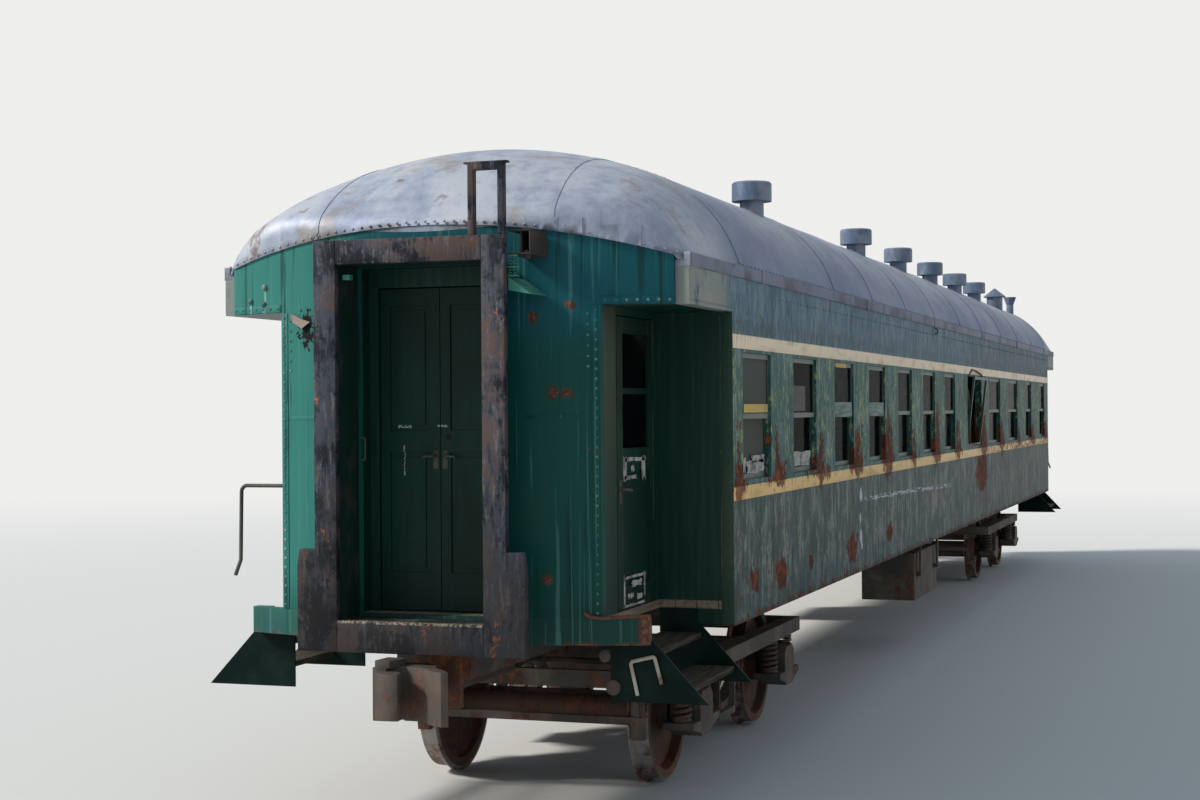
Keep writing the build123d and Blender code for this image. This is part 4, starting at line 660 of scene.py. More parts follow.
f = slip_finish = Finish("yellow_slip", Roughness=0.7)
f.colour = f.mix(f.step(f.noise(14, 4, 0.6, 56), 0.45, 0.7), (0.62, 0.42, 0.1), (0.36, 0.24, 0.08))
f.show(None, f.noise(80, 2), 0.0004)
begin()
for x0, x1, z0, z1 in (
    (first - 0.3, first + 0.33, 2.476, 2.531), (third - 0.26, third + 0.13, 2.82, 2.853),
):
    block((x0, SLIP_Y[0], z0), (x1, SLIP_Y[1], z1))
piece("window_slips", slip_finish, bevel=0.0002)

f = rail_board_finish = Finish("pale_rail_board", Roughness=0.7)
grain = f.noise((3, 30, 30), 5, 0.6, 59)
f.colour = f.mix(f.step(grain, 0.4, 0.62), SASH_FADED, (0.075, 0.125, 0.115))
f.show(None, f.noise((4, 60, 60), 3), 0.0006)
begin()
for index in FADED_RAILS:
    middle = window_middles[index]
    block((middle - RAIL_BOARD_HALF_WIDTH, RAIL_BOARD_Y[0], MEETING_Z - 0.022),
          (middle + RAIL_BOARD_HALF_WIDTH, RAIL_BOARD_Y[1], MEETING_Z + 0.095))
piece("window_rail_boards", rail_board_finish, bevel=0.0015)

f = paper_finish = Finish("old_paper", Roughness=0.85)
f.colour = f.mix(f.step(f.noise(16, 5, 0.65, 57), 0.44, 0.6), (0.44, 0.41, 0.38), (0.16, 0.15, 0.145))
f.show(None, f.noise(60, 3), 0.0012)
random.seed(4)


def scrap(x0, x1, z0, z1, y, ragged=0.1):
    """A thin torn sheet with a ragged outline, stuck to a wall that faces -y."""
    rim = []
    for u0, v0, u1, v1 in ((0, 0, 1, 0), (1, 0, 1, 1), (1, 1, 0, 1), (0, 1, 0, 0)):
        for index in range(5):
            u = u0 + (u1 - u0) * index / 5 + random.uniform(-ragged, ragged) * 0.6
            v = v0 + (v1 - v0) * index / 5 + random.uniform(-ragged, ragged)
            rim.append((x0 + (x1 - x0) * u, y, z0 + (z1 - z0) * v))
    sheet(rim, (0, -0.0012, 0))


begin()
scrap(first - 0.3, first - 0.17, 2.09, 2.185, PAPER_Y)
scrap(first - 0.14, first + 0.3, 2.085, 2.165, PAPER_Y)
scrap(first - 0.02, first + 0.32, 2.15, 2.2, PAPER_Y)
scrap(second - 0.31, second + 0.3, 2.088, 2.19, PAPER_Y, 0.05)
piece("window_paper", paper_finish)

# Damaged window: a rusty bar bent over its head, and the hanging remains of a frame.
eighth = window_middles[7]
broken_rust = weathered_iron("broken_iron", (0.11, 0.05, 0.03), (0.2, 0.11, 0.05), 0.6, 58)
begin()
rod([(eighth - 0.6, -1.506, 2.85), (eighth - 0.32, -1.514, 2.935), (eighth + 0.02, -1.516, 2.925),
     (eighth + 0.48, -1.514, 2.89), (eighth + 0.6, -1.507, 2.85)], 0.011, 0.03, 8)
rod([(eighth - 0.55, -1.5, 2.7), (eighth - 0.53, -1.514, 2.4), (eighth - 0.5, -1.51, 2.085),
     (eighth + 0.3, -1.508, 2.06)], 0.009, 0.02, 8)
piece("broken_window_bars", broken_rust)


# Ends: bowed riveted sheet, deep teal, streaked from the roof's edge down, with rust spots, loose
# bolts and a torn hole by the gangway's head. The half towards the sun is painted lighter as painted
# sunlight, the top of the other half bluer as painted sky light, and the hole is a near-black patch
# of painted shade. The headstock below is alike.
END_TEAL = (0.003, 0.06, 0.048)
END_PAINTED_SUNLIT = (0.03, 0.175, 0.15)
END_PAINTED_SKY_LIGHT = (0.004, 0.078, 0.098)
END_GRIME = (0.004, 0.024, 0.02)
END_STREAK = (0.08, 0.22, 0.2)
END_RUST = (0.07, 0.03, 0.022)
END_RUST_BRIGHT = (0.24, 0.085, 0.05)
BOW_RADIUS = 3.886
BODY_END = 10.987
EAVE_Z = 3.358
SKIRT_RISE = 0.225
SKIRT_HALF_WIDTH = 1.514
TEAR = (0.83, 3.0)
RUST_SPOTS = ((-0.844, 3.103), (-0.633, 3.035), (-0.72, 1.53), (-0.83, 2.6), (-0.76, 2.6))
LOOSE_BOLTS = ((1.274, 3.182), (1.155, 3.262), (1.164, 3.159))


def spot_reach(f, y, z, wide=1.0, tall=1.0):
    """Distance from a spot on the front end."""
    return f.length((f.y - y) * (1 / wide), (f.z - z) * (1 / tall))


def end_paint(f):
    """Lay on the end's weathered colour, with painted sunlight and sky light. Gives back where it is
    rusty, and where the torn hole is painted dark as shade.
    """
    cloud = f.noise((1.1, 1.1, 0.8), 5, 0.6, 61)
    streaks = f.noise((17, 17, 0.6), 5, 0.62, 62)
    threads = f.noise((46, 46, 0.45), 4, 0.62, 63)
    # Painted sunlight: the half towards the sun is a lighter teal.
    painted_sunlight = f.step(f.y + 0.5 * cloud, 0.35, 1.15)
    f.colour = f.mix(painted_sunlight, END_TEAL, END_PAINTED_SUNLIT)
    # Painted sky light: the top of the shaded half takes a bluer cast.
    f.lay(f.step(f.z + 0.3 * cloud, 2.9, 3.3) * (1 - painted_sunlight), END_PAINTED_SKY_LIGHT)
    f.lay(0.7 * f.step(streaks + 0.3 * (cloud - 0.5), 0.44, 0.34), END_GRIME)
    f.lay(0.6 * f.step(f.z + 0.5 * cloud, 1.8, 1.45), END_GRIME)
    f.lay(0.5 * f.step(streaks, 0.6, 0.7).most(f.step(threads, 0.6, 0.68)), END_STREAK)
    drips = reduce(Wire.most, (
        f.band(f.y, y - 0.008, y + 0.006, 0.004) * f.band(f.z, z - 0.13, z, 0.02)
        for y, z in LOOSE_BOLTS))
    f.lay(0.6 * drips * f.front(), (0.3, 0.42, 0.38))
    rough = f.noise(26, 4, 0.65, 66)
    spots = f.step(f.noise((5, 5, 4), 6, 0.7, 64), 0.68, 0.71)
    for y, z in RUST_SPOTS:
        spots = spots.most(f.step(spot_reach(f, y, z) + 0.16 * rough, 0.118, 0.1) * f.front())
    corner = f.step(f.y + 0.16 * rough, -1.13, -1.155) * f.step(f.z, 1.35, 1.31) * f.front()
    foot = f.step(f.z + 0.05 * rough, 1.205, 1.185) * f.step(f.noise(7, 4, 0.6, 65), 0.45, 0.6)
    rust = spots.most(0.9 * corner).most(0.8 * foot)
    f.lay(0.95 * rust, f.mix(f.step(rough, 0.42, 0.6), END_RUST, END_RUST_BRIGHT))
    # The torn hole is not cut: a near-black patch is painted shade for its dark inside.
    torn_hole_painted_dark = f.step(spot_reach(f, *TEAR, 0.62, 1.2) + 0.3 * rough, 0.245, 0.225) * f.front()
    f.lay(torn_hole_painted_dark, (0.006, 0.006, 0.006))
    return rust, torn_hole_painted_dark


f = end_finish = Finish("end_paint", 0.14)
rust, torn_hole_painted_dark = end_paint(f)
f.show(0.45 + 0.3 * rust + 0.3 * torn_hole_painted_dark, 8.0 * f.noise((1.5, 1.5, 1.1), 2, 0.5, 67) + 0.3 * rust, 0.003)
f.cover("end_wall_front", "end_wall_rear")

f = Finish("bearer_and_headstock_paint", 0.22)
rust = end_paint(f)[0]
end_colour = f.colour
f.colour = f.mix(f.step(f.noise(3, 6, 0.6, 2), 0.42, 0.66), UNDERFRAME_BLACK, UNDERFRAME_DUST)
rust_through(f, 0.45, 12)
# The headstock's front takes the end's colours, painted sunlight included.
f.lay(f.step(abs(f.x), 9.9, 10) * f.step(f.z, 1.15, 1.153), end_colour)
f.show(0.6 + 0.2 * rust, f.noise(90, 3) + rust, 0.0012)
f.cover("cross_bearers")

f = Finish("door_frame_paint", 0.22)
streaks = f.noise((26, 26, 1.2), 5, 0.6, 68)
f.colour = f.mix(f.step(streaks, 0.45, 0.68), (0.002, 0.026, 0.019), (0.006, 0.042, 0.03))
edge = f.step(abs(f.x), 10.55, 10.6) * f.step(abs(f.y), 1.018, 1.0195)
f.lay(0.5 * edge * f.step(f.z + 0.5 * streaks, 1.9, 3.0), (0.06, 0.066, 0.026))
rust = f.step(f.noise(4, 6, 0.7, 69), 0.665, 0.71)
f.lay(rust, SIDE_RUST)
f.show(0.42 + 0.3 * rust, streaks + rust, 0.0008)
f.cover("end_frame_front", "end_frame_rear", "bulkhead_front", "bulkhead_rear")


def on_end(end, y, z, proud=0.0):
    """Point on a bowed end sheet, and the direction it faces."""
    along = math.sqrt(BOW_RADIUS ** 2 - y ** 2)
    outward = Vector((end * along, y, 0)) / BOW_RADIUS
    point = Vector((end * (BODY_END - BOW_RADIUS), 0, z)) + outward * (BOW_RADIUS + proud)
    return point, outward


def bowed_strip(end, y0, y1, z0, z1, proud):
    """A flat strip bent to an end sheet and lying on it."""
    low, high = sorted((y0, y1))
    sheet([on_end(end, low, z, lift)[0] for z, lift in ((z0, 0), (z0, proud), (z1, proud), (z1, 0))])
    bpy.ops.mesh.spin(steps=max(1, round((high - low) / 0.05)), axis=(0, 0, 1),
                      center=(end * (BODY_END - BOW_RADIUS), 0, 0),
                      angle=-end * (math.asin(high / BOW_RADIUS) - math.asin(low / BOW_RADIUS)))


begin()
end_rivets = []
skirt_rivets = []
for end in (-1, 1):
    for side in (-1, 1):
        bowed_strip(end, side * 0.972, side * 1.0195, 1.315, 3.1, 0.004)
        bowed_strip(end, side * 1.025, side * 1.418, 3.106, 3.15, 0.004)
        bowed_strip(end, side * 0.6, side * 0.968, 2.452, 2.475, 0.002)
        for z in spaced(1.34, 3.07, 0.055):
            end_rivets.append(on_end(end, side * 0.996, z, 0.004))
        for y in spaced(1.05, 1.4, 0.058):
            end_rivets.append(on_end(end, side * y, FASCIA_SEAM_Z, 0.004))
        for z in spaced(2.75, 3.05, 0.06):
            end_rivets.append(on_end(end, side * 0.952, z))
    for y in spaced(-1.44, 1.44, 0.06):
        rise = SKIRT_RISE * (1 - (y / SKIRT_HALF_WIDTH) ** 2)
        skirt_rivets.append(on_end(end, y, EAVE_Z + rise + 0.02, 0.012))
piece("end_strips", end_finish, bevel=0.001)
rivets(end_rivets)
worn_rivet_finish = weathered_iron("worn_rivets", (0.02, 0.12, 0.1), (0.22, 0.3, 0.27), 0.2, 60)
piece("end_rivets", worn_rivet_finish)
rivets([on_end(-1, y, z) for y, z in LOOSE_BOLTS], 0.019, 0.018, 8)
piece("loose_bolts", worn_rivet_finish)

# Torn sheet: its lip stands out from the end above the hole.
lip_finish = weathered_iron("torn_lip", (0.17, 0.1, 0.085), (0.25, 0.2, 0.18), 0.25, 70)
begin()
sheet([on_end(-1, y, z, lift)[0] for y, z, lift in (
    (0.955, 3.1, 0.001), (0.86, 3.062, 0.022), (0.8, 3.04, 0.004), (0.84, 3.0, 0.034),
    (0.93, 3.045, 0.012))], (0.002, 0, 0.001))
piece("torn_lip", lip_finish)

# A red-brown bar lies bent along the top of the apron by the front left step.
begin()
rod([on_end(-1, y, z, 0.014)[0] for y, z in (
    (-0.925, 1.345), (-0.945, 1.322), (-1.01, 1.312), (-1.1, 1.318), (-1.19, 1.322),
    (-1.285, 1.325))], 0.01, 0.012, 8)
bent_bar = weathered_iron("bent_bar", (0.13, 0.03, 0.02), (0.1, 0.05, 0.035), 0.5, 71)
piece("apron_bar", bent_bar)


# Doors: wooden leaves sheathed in steel, dark green, rubbed along their edges and round the handles,
# scratched, with what is left of bare white paper on the front left one.
DOOR_GREEN = (0.002, 0.019, 0.0135)
DOOR_WORN = (0.004, 0.033, 0.024)
DOOR_EDGE = (0.07, 0.078, 0.034)
SCRATCH = (0.42, 0.48, 0.45)
HANDLE_IRON = (0.018, 0.02, 0.018)
SIDE_DOOR_Y = 1.02
SIDE_DOOR_X = (9.85, 10.568)
END_LEAF_X = 10.797
GANGWAY_HANDLE_X = 10.935
# What is left of the papers on the front left door: x and z of each scrap's two edges.
DOOR_PAPERS = (
    (-10.452, -10.385, 2.09, 2.215), (-10.42, -10.03, 2.192, 2.214), (-10.44, -10.2, 2.084, 2.11),
    (-10.095, -10.025, 2.085, 2.205), (-10.3, -10.24, 2.13, 2.165), (-10.455, -10.43, 1.33, 1.505),
    (-10.44, -10.05, 1.492, 1.508), (-10.45, -10.06, 1.326, 1.34), (-10.065, -10.035, 1.37, 1.5),
    (-10.3, -10.12, 1.44, 1.475), (-10.38, -10.27, 1.375, 1.405), (-10.2, -10.1, 1.36, 1.39))
SCRATCHES = ((0.194, 0.285, 2.402, 2.418), (-0.045, 0.018, 2.406, 2.418), (0.232, 0.24, 2.12, 2.3))


def door_paint(f, seed):
    """Dark green gloss gone dull. Gives back its fine runs."""
    cloud = f.noise((2.2, 2.2, 1.3), 5, 0.6, seed)
    streaks = f.noise((24, 24, 1.3), 5, 0.6, seed + 1)
    f.colour = f.mix(f.step(cloud + 0.35 * streaks, 0.58, 0.85), DOOR_GREEN, DOOR_WORN)
    return streaks


f = side_door_finish = Finish("side_door_paint", 0.22)
streaks = door_paint(f, 72)
from_middle = abs(abs(f.x) - sum(SIDE_DOOR_X) / 2)
outside = f.step(abs(f.y), 1.0185, 1.0195)
worn_edge = outside * f.step(from_middle, 0.34, 0.352).most(f.band(from_middle, 0.246, 0.256, 0.002))
worn_edge = worn_edge * f.step(f.noise((9, 9, 3), 4, 0.6, 74) + 0.1 * (f.z - 2.2), 0.42, 0.56)
f.lay(0.75 * worn_edge, DOOR_EDGE)
rust = f.step(f.noise(6, 6, 0.7, 75), 0.64, 0.68)
f.lay(rust, RUST_DARK)
f.show(0.42 + 0.4 * rust, streaks + rust, 0.0008)
f = end_door_finish = Finish("end_door_paint", 0.15)
streaks = door_paint(f, 76)
marks = reduce(Wire.most, (
    f.band(f.y, y0, y1, 0.003) * f.band(f.z, z0, z1, 0.003) for y0, y1, z0, z1 in SCRATCHES))
marks = marks * f.step(f.noise(70, 3, 0.6, 78), 0.42, 0.54) * f.front()
f.lay(marks, SCRATCH)
# The lock's hole is not cut: a near-black spot is painted shade for its dark inside.
lock_hole_painted_dark = f.step(spot_reach(f, -0.055, 2.348), 0.021, 0.018)
f.lay(lock_hole_painted_dark * f.step(abs(f.x), END_LEAF_X - 0.02, END_LEAF_X - 0.01), (0.002, 0.002, 0.002))
f.show(0.42 + 0.3 * marks, streaks + marks, 0.0008)
for corner in CORNER_NAMES:
    side_door_finish.cover("side_door_" + corner)
    end_door_finish.cover("end_door_" + corner)

handle_finish = weathered_iron("handle_iron", HANDLE_IRON, (0.075, 0.068, 0.055), 0.12, 79)
rail_iron_finish = weathered_iron("rail_paint", (0.045, 0.05, 0.045), (0.12, 0.11, 0.085), 0.3, 80)
for end, end_name in ENDS:
    for side, side_name in ((-1, "left"), (1, "right")):
        corner = end_name + "_" + side_name
        x = end * (SIDE_DOOR_X[1] - 0.055)
        y = side * SIDE_DOOR_Y
        begin()
        block((x - 0.022, y, 1.945), (x + 0.022, y + side * 0.006, 2.085))
        rod([(x, y, 2.03), (x, y + side * 0.032, 2.03), (x - end * 0.015, y + side * 0.04, 2.03),
             (x - end * 0.1, y + side * 0.04, 2.022)], 0.009, 0.008)
        piece("side_door_handle_" + corner, handle_finish, "side_door_" + corner,
              bevel=0.0015)
        x = end * END_LEAF_X
        y = side * 0.03
        begin()
        block((x, y - 0.016, 2.16), (x + end * 0.004, y + 0.016, 2.27))
        rod([(x, y, 2.235), (x + end * 0.024, y, 2.235), (x + end * 0.032, y + side * 0.01, 2.235),
             (x + end * 0.032, y + side * 0.075, 2.23)], 0.007, 0.006)
        piece("end_door_handle_" + corner, handle_finish, "end_door_" + corner,
              bevel=0.001)
    x = end * GANGWAY_HANDLE_X
    begin()
    rod([(x, 0.456, 2.345), (x, 0.426, 2.345), (x, 0.426, 2.215), (x, 0.456, 2.215)], 0.007, 0.01, 8)
    piece("gangway_handle_" + end_name, rail_iron_finish)

begin()
for edges in DOOR_PAPERS:
    scrap(*edges, -SIDE_DOOR_Y - 0.0006, 0.16)
piece("door_paper", paper_finish, "side_door_front_left")


# Gangway frame: flat iron riveted together, with wide feet, and a loop on its head. The paint is
# almost gone: dull blue grey and brown, rusty in patches, worn pale along the sill.
GANGWAY_DARK = (0.008, 0.01, 0.016)
GANGWAY_BLUE = (0.044, 0.051, 0.068)
GANGWAY_BROWN = (0.088, 0.055, 0.045)
GANGWAY_PALE = (0.14, 0.145, 0.16)
GANGWAY_PITTED = (0.008, 0.008, 0.011)
GANGWAY_RUST = (0.16, 0.055, 0.032)
GANGWAY_ORANGE = (0.4, 0.13, 0.06)
GANGWAY_GRIME = (0.014, 0.013, 0.013)
SILL_PALE = (0.42, 0.35, 0.25)
LINING_GREEN = (0.006, 0.026, 0.021)
LINING_WORN = (0.03, 0.036, 0.034)
PLATE_BLACK = (0.014, 0.014, 0.014)
PLATE_WORN = (0.06, 0.058, 0.055)
STROKE_LEAN = math.radians(38)
GANGWAY_FACE_X = 11.257
GANGWAY_PLATE = 0.05
BOX_Y = (-0.735, -0.6)
BOX_Z = (3.384, 3.505)


def copy_of(node):
    """A copy of a CAD piece's mesh, merged, open in edit mode."""
    made = bpy.data.objects.new(node + "_copy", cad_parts[node].data.copy())
    bpy.context.scene.collection.objects.link(made)
    join(made)
    bpy.ops.mesh.select_all(action="SELECT")
    bpy.ops.mesh.remove_doubles(threshold=0.00005)


def dressed_copy(node, name, finish, bevel):
    """A copy of a CAD piece with its edges broken, which stands for it."""
    copy_of(node)
    bpy.ops.mesh.dissolve_limited(angle_limit=math.radians(1))
    return piece(name, finish, bevel=bevel, stands_for=(node,))


f = Finish("gangway_iron", 0.15)
cloud = f.noise((4.6, 4.6, 3.9), 7, 0.7, 81)
grit = f.noise((60, 60, 44), 4, 0.6, 82) - 0.5
strokes = f.node("ShaderNodeTexNoise", {}, {
    "Vector": f.node("ShaderNodeMapping", {}, {0: f.place, 2: (STROKE_LEAN, 0, 0), 3: (10, 34, 5)}),
    "Scale": 1.0, "Detail": 5, "Roughness": 0.65})
wide_patch = f.noise((1.9, 1.9, 1.3), 4, 0.6, 84) - 0.5
blend = cloud + 0.5 * (strokes - 0.5)
f.colour = f.mix(f.step(blend, 0.38, 0.54), GANGWAY_DARK, GANGWAY_BLUE)
f.lay(0.85 * f.step(blend + 0.6 * wide_patch, 0.48, 0.62), GANGWAY_BROWN)
f.lay(0.6 * f.step(strokes + 0.4 * grit, 0.54, 0.7), GANGWAY_PALE)
f.lay(0.8 * f.step(cloud + 0.4 * grit, 0.44, 0.38), GANGWAY_PITTED)
orange = f.step(f.noise((4.2, 4.2, 3.2), 6, 0.66, 83) + 0.2 * grit, 0.645, 0.7)
f.lay(0.85 * orange, f.mix(f.step(grit, -0.1, 0.12), GANGWAY_RUST, GANGWAY_ORANGE))
f.lay(0.62 * f.step(f.z + 0.4 * wide_patch, 2.6, 1.25), GANGWAY_GRIME)
pale = f.band(f.z, 1.285, 1.302, 0.003) * f.step(abs(f.y), 0.46, 0.44)
f.lay(0.5 * pale * f.step(grit, -0.08, 0.08), SILL_PALE)
f.show(0.62 + 0.2 * orange + 0.2 * grit, grit + 1.2 * orange + 3.0 * cloud, 0.002)
for end, end_name in ENDS:
    dressed_copy("gangway_frame_" + end_name, "gangway_plate_" + end_name, f, 0.004)

f = Finish("gangway_lining", 0.22)
worn = f.step(f.noise((6, 6, 3), 6, 0.68, 86), 0.48, 0.64)
floor_part = f.step(f.z, 1.3, 1.297)
f.colour = f.mix(0.7 * worn, LINING_GREEN, LINING_WORN)
f.lay(floor_part, f.mix(worn, PLATE_BLACK, PLATE_WORN))
f.show(0.5 + 0.25 * worn, worn, 0.0006)
f.cover("gangway_tunnel_front", "gangway_tunnel_rear")

# Gangway fittings: an open box, a bell of small springs and a gusset that hold the frame's head to
# the end on one side, a tab on the other.
fitting_green = weathered_iron("fitting_green", (0.045, 0.2, 0.155), (0.06, 0.13, 0.1), 0.15, 87)
fitting_iron = weathered_iron("fitting_iron", (0.022, 0.018, 0.016), (0.085, 0.06, 0.045), 0.3, 88)
back_x = GANGWAY_FACE_X - GANGWAY_PLATE
skin_x = on_end(1, 0.62, 3.4)[0].x
begin()
for end in (-1, 1):
    back = end * back_x
    skin = end * skin_x
    block((back, BOX_Y[0], BOX_Z[1]), (skin, BOX_Y[1], BOX_Z[1] + 0.01))
    block((back, BOX_Y[0], BOX_Z[0] - 0.01), (skin, BOX_Y[1], BOX_Z[0]))
    block((back, BOX_Y[0], BOX_Z[0]), (skin, BOX_Y[0] + 0.008, BOX_Z[1]))
    block((skin - 0.006, BOX_Y[0] + 0.008, BOX_Z[0]), (skin + 0.004, BOX_Y[1], BOX_Z[1]))
    block((back - end * 0.03, -0.672, BOX_Z[0]), (skin, -0.66, BOX_Z[1]))
    rod([(back - end * 0.045, -0.7, 3.35), (back - end * 0.045, -0.7, 3.4)], 0.02)
piece("gangway_boxes", fitting_iron, bevel=0.0015)
small_spring = coil(0.011, 0.0032, 0.112, 6, 60, 6)
spring_places = []
begin()
for end in (-1, 1):
    back = end * back_x
    for y in (-0.605, -0.632):
        spring_places.append(Matrix.Translation((back - end * 0.022, y, 3.259)))
    for z in (3.256, 3.305, 3.371):
        block((back, -0.65, z - 0.004), (back - end * 0.05, -0.597, z + 0.003))
    sheet([(back, -0.6, 3.25), (back, -0.6, 3.175), (back, -0.735, 3.15)],
          (end * (skin_x - back_x), -0.004, 0))
    block((back, 0.385, 3.262), (back - end * 0.045, 0.43, 3.292))
join(lay_down(), copied(small_spring, spring_places))
piece("gangway_springs", fitting_green, bevel=0.0006)
bpy.data.objects.remove(small_spring)


# Roof: lapped and riveted sheet in aluminium paint, its seams rounded over, two patches riveted on
# the front dome's edge. Soot, rust and ochre dust have stained it. Its lower flanks, away from the
# domes, are painted a darker blue as painted shade and painted sky reflection.
ROOF_ALUMINIUM = (0.29, 0.325, 0.41)
ROOF_BRIGHT = (0.39, 0.415, 0.47)
ROOF_DARK = (0.12, 0.16, 0.26)
ROOF_PAINTED_FLANK_SHADE = (0.06, 0.105, 0.215)
ROOF_OCHRE = (0.26, 0.21, 0.16)
ROOF_BROWN = (0.15, 0.085, 0.06)
RIM_DIRT = (0.07, 0.06, 0.06)
VENTILATOR_GREY = (0.1, 0.14, 0.21)
VENTILATOR_PALE = (0.19, 0.22, 0.28)
DOME_START_X = 9.4
DOME_SEAM_X = 10.45
DOME_SEAM_Y = 0.715
DOME_SEAM_SLOPE = 0.07
SEAM_XS = (-9.48, -6.6, -5.0, -3.35, -1.6, 0.2, 2.0, 3.9, 5.8, 7.6, 9.48)
DOME_SEAM_START_X = 9.52
SEAM_HALF_WIDTH = 0.032
DOME_SEAM_HALF_WIDTH = 0.022
SEAM_THICKNESS = 0.004
PATCH_THICKNESS = 0.006
# Patches: their edges in y, their rear edge in x and their top in z.
PATCHES = ((-0.93, -0.69, -10.84, 3.605), (-1.25, -1.02, -10.74, 3.553))

f = roof_finish = Finish("roof_paint", 0.2, Metallic=0.2)
cloud = f.noise((0.9, 1.7, 1.4), 6, 0.66, 91)
strokes = f.noise((16, 9, 3.0), 5, 0.66, 92)
blotch = f.noise(2.4, 6, 0.72, 93)
f.colour = f.mix(f.step(cloud + 0.25 * (strokes - 0.5), 0.4, 0.56), ROOF_BRIGHT, ROOF_ALUMINIUM)
f.lay(0.6 * f.step(cloud + 0.5 * (strokes - 0.5), 0.5, 0.72), ROOF_DARK)
f.lay(0.55 * f.step(blotch + 0.25 * (strokes - 0.5), 0.54, 0.66), ROOF_OCHRE)
stain = f.step(f.noise(3.6, 6, 0.72, 94) + 0.1 * f.step(f.y, 0.6, 1.4), 0.62, 0.7)
f.lay(0.7 * stain, ROOF_BROWN)
rim_z = EAVE_Z + SKIRT_RISE * (1 - f.y * f.y * (1 / SKIRT_HALF_WIDTH ** 2))
rim_dirt = f.step(f.z - rim_z + 0.1 * (strokes - 0.5), 0.05, 0.0) * f.step(abs(f.x), 9.9, 10.2)
f.lay(0.6 * rim_dirt * f.step(blotch, 0.42, 0.55), RIM_DIRT)
# Painted shade and painted sky reflection: the barrel's lower flanks darken to blue.
painted_flank_shade = f.step(f.z + 0.3 * (strokes - 0.5), 4.02, 3.5)
f.lay(0.72 * painted_flank_shade * f.step(abs(f.x) + 0.8 * (cloud - 0.5), 10.3, 9.4), ROOF_PAINTED_FLANK_SHADE)
specks = f.step(f.noise(45, 3, 0.6, 96), 0.66, 0.72)
f.lay(0.4 * specks, ROOF_DARK)
f.show(0.42 + 0.25 * cloud + 0.15 * stain, 7.0 * f.noise(1.5, 2, 0.5, 95) + 0.5 * strokes, 0.003)
f.cover("roof")

f = Finish("ventilator_iron", 0.3, Metallic=0.3)
f.colour = f.mix(f.step(f.noise((5, 5, 3), 6, 0.7, 90), 0.45, 0.62), VENTILATOR_GREY, VENTILATOR_PALE)
rust = rust_through(f, 0.25, 98)
f.show(0.5 + 0.3 * rust, f.noise(60, 3) + rust, 0.0012)
f.cover("roof_ventilators")

roof_tree = BVHTree.FromObject(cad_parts["roof"], bpy.context.evaluated_depsgraph_get())


def on_roof(x, y):
    """Point on the roof's outer surface above (x, y), and the direction it faces."""
    point, outward = roof_tree.ray_cast(Vector((x, y, 6)), Vector((0, 0, -1)))[:2]
    return point, outward if outward.z > 0 else -outward


def faces_in(face):
    """Whether a roof face is on the inside of the sheet, or on its edge."""
    middle = face.calc_center_median()
    from_axis = middle - Vector((max(-DOME_START_X, min(DOME_START_X, middle.x)), 0, 2.3))
    return face.normal.dot(from_axis) < 0.25 * from_axis.length


def roof_band(cuts, lowest, thickness):
    """The roof's outer skin between cutting planes, given thickness outwards."""
    copy_of("roof")
    for point, normal in cuts + [((0, 0, lowest), (0, 0, -1))]:
        bpy.ops.mesh.select_all(action="SELECT")
        bpy.ops.mesh.bisect(plane_co=point, plane_no=normal, clear_outer=True)
    pick(faces_in)
    bpy.ops.mesh.delete(type="FACE")
    return applied(lay_down(), "SOLIDIFY", thickness=thickness, offset=1)


seams = []
for x in SEAM_XS:
    cuts = [((x + turn * SEAM_HALF_WIDTH, 0, 0), (turn, 0, 0)) for turn in (1, -1)]
    seams.append(roof_band(cuts, EAVE_Z + 0.06, SEAM_THICKNESS))
for end, side in CORNERS:
    across = Vector((-DOME_SEAM_SLOPE * end * side, 1, 0)).normalized()
    point = Vector((end * DOME_SEAM_X, side * DOME_SEAM_Y, 0))
    cuts = [(point + turn * across * DOME_SEAM_HALF_WIDTH, turn * across) for turn in (1, -1)]
    cuts.append(((end * DOME_SEAM_START_X, 0, 0), (-end, 0, 0)))
    seams.append(roof_band(cuts, EAVE_Z + 0.1, SEAM_THICKNESS))
join(*seams)
piece("roof_seams", roof_finish)
patches = []
for y0, y1, x1, top_z in PATCHES:
    cuts = [((0, y1, 0), (0, 1, 0)), ((0, y0, 0), (0, -1, 0)), ((x1, 0, 0), (1, 0, 0)),
            ((0, 0, top_z), (0, 0, 1))]
    patches.append(roof_band(cuts, EAVE_Z + 0.08, PATCH_THICKNESS))
join(*patches)
piece("roof_patches", roof_finish)

roof_rivets = list(skirt_rivets)
for x in SEAM_XS:
    for side in (-1, 1):
        for y in spaced(0.75, 1.485, 0.06):
            roof_rivets.append(on_roof(x, side * y))
for side in (-1, 1):
    for x in spaced(-DOME_START_X, DOME_START_X, 0.1):
        roof_rivets.append(on_roof(x, side * 1.488))
for end, side in CORNERS:
    for x in spaced(9.6, 10.88, 0.055):
        y = DOME_SEAM_Y + DOME_SEAM_SLOPE * (x - DOME_SEAM_X)
        roof_rivets.append(on_roof(end * x, side * y))
rivets(roof_rivets, 0.009, 0.006)
piece("roof_rivets", roof_finish)

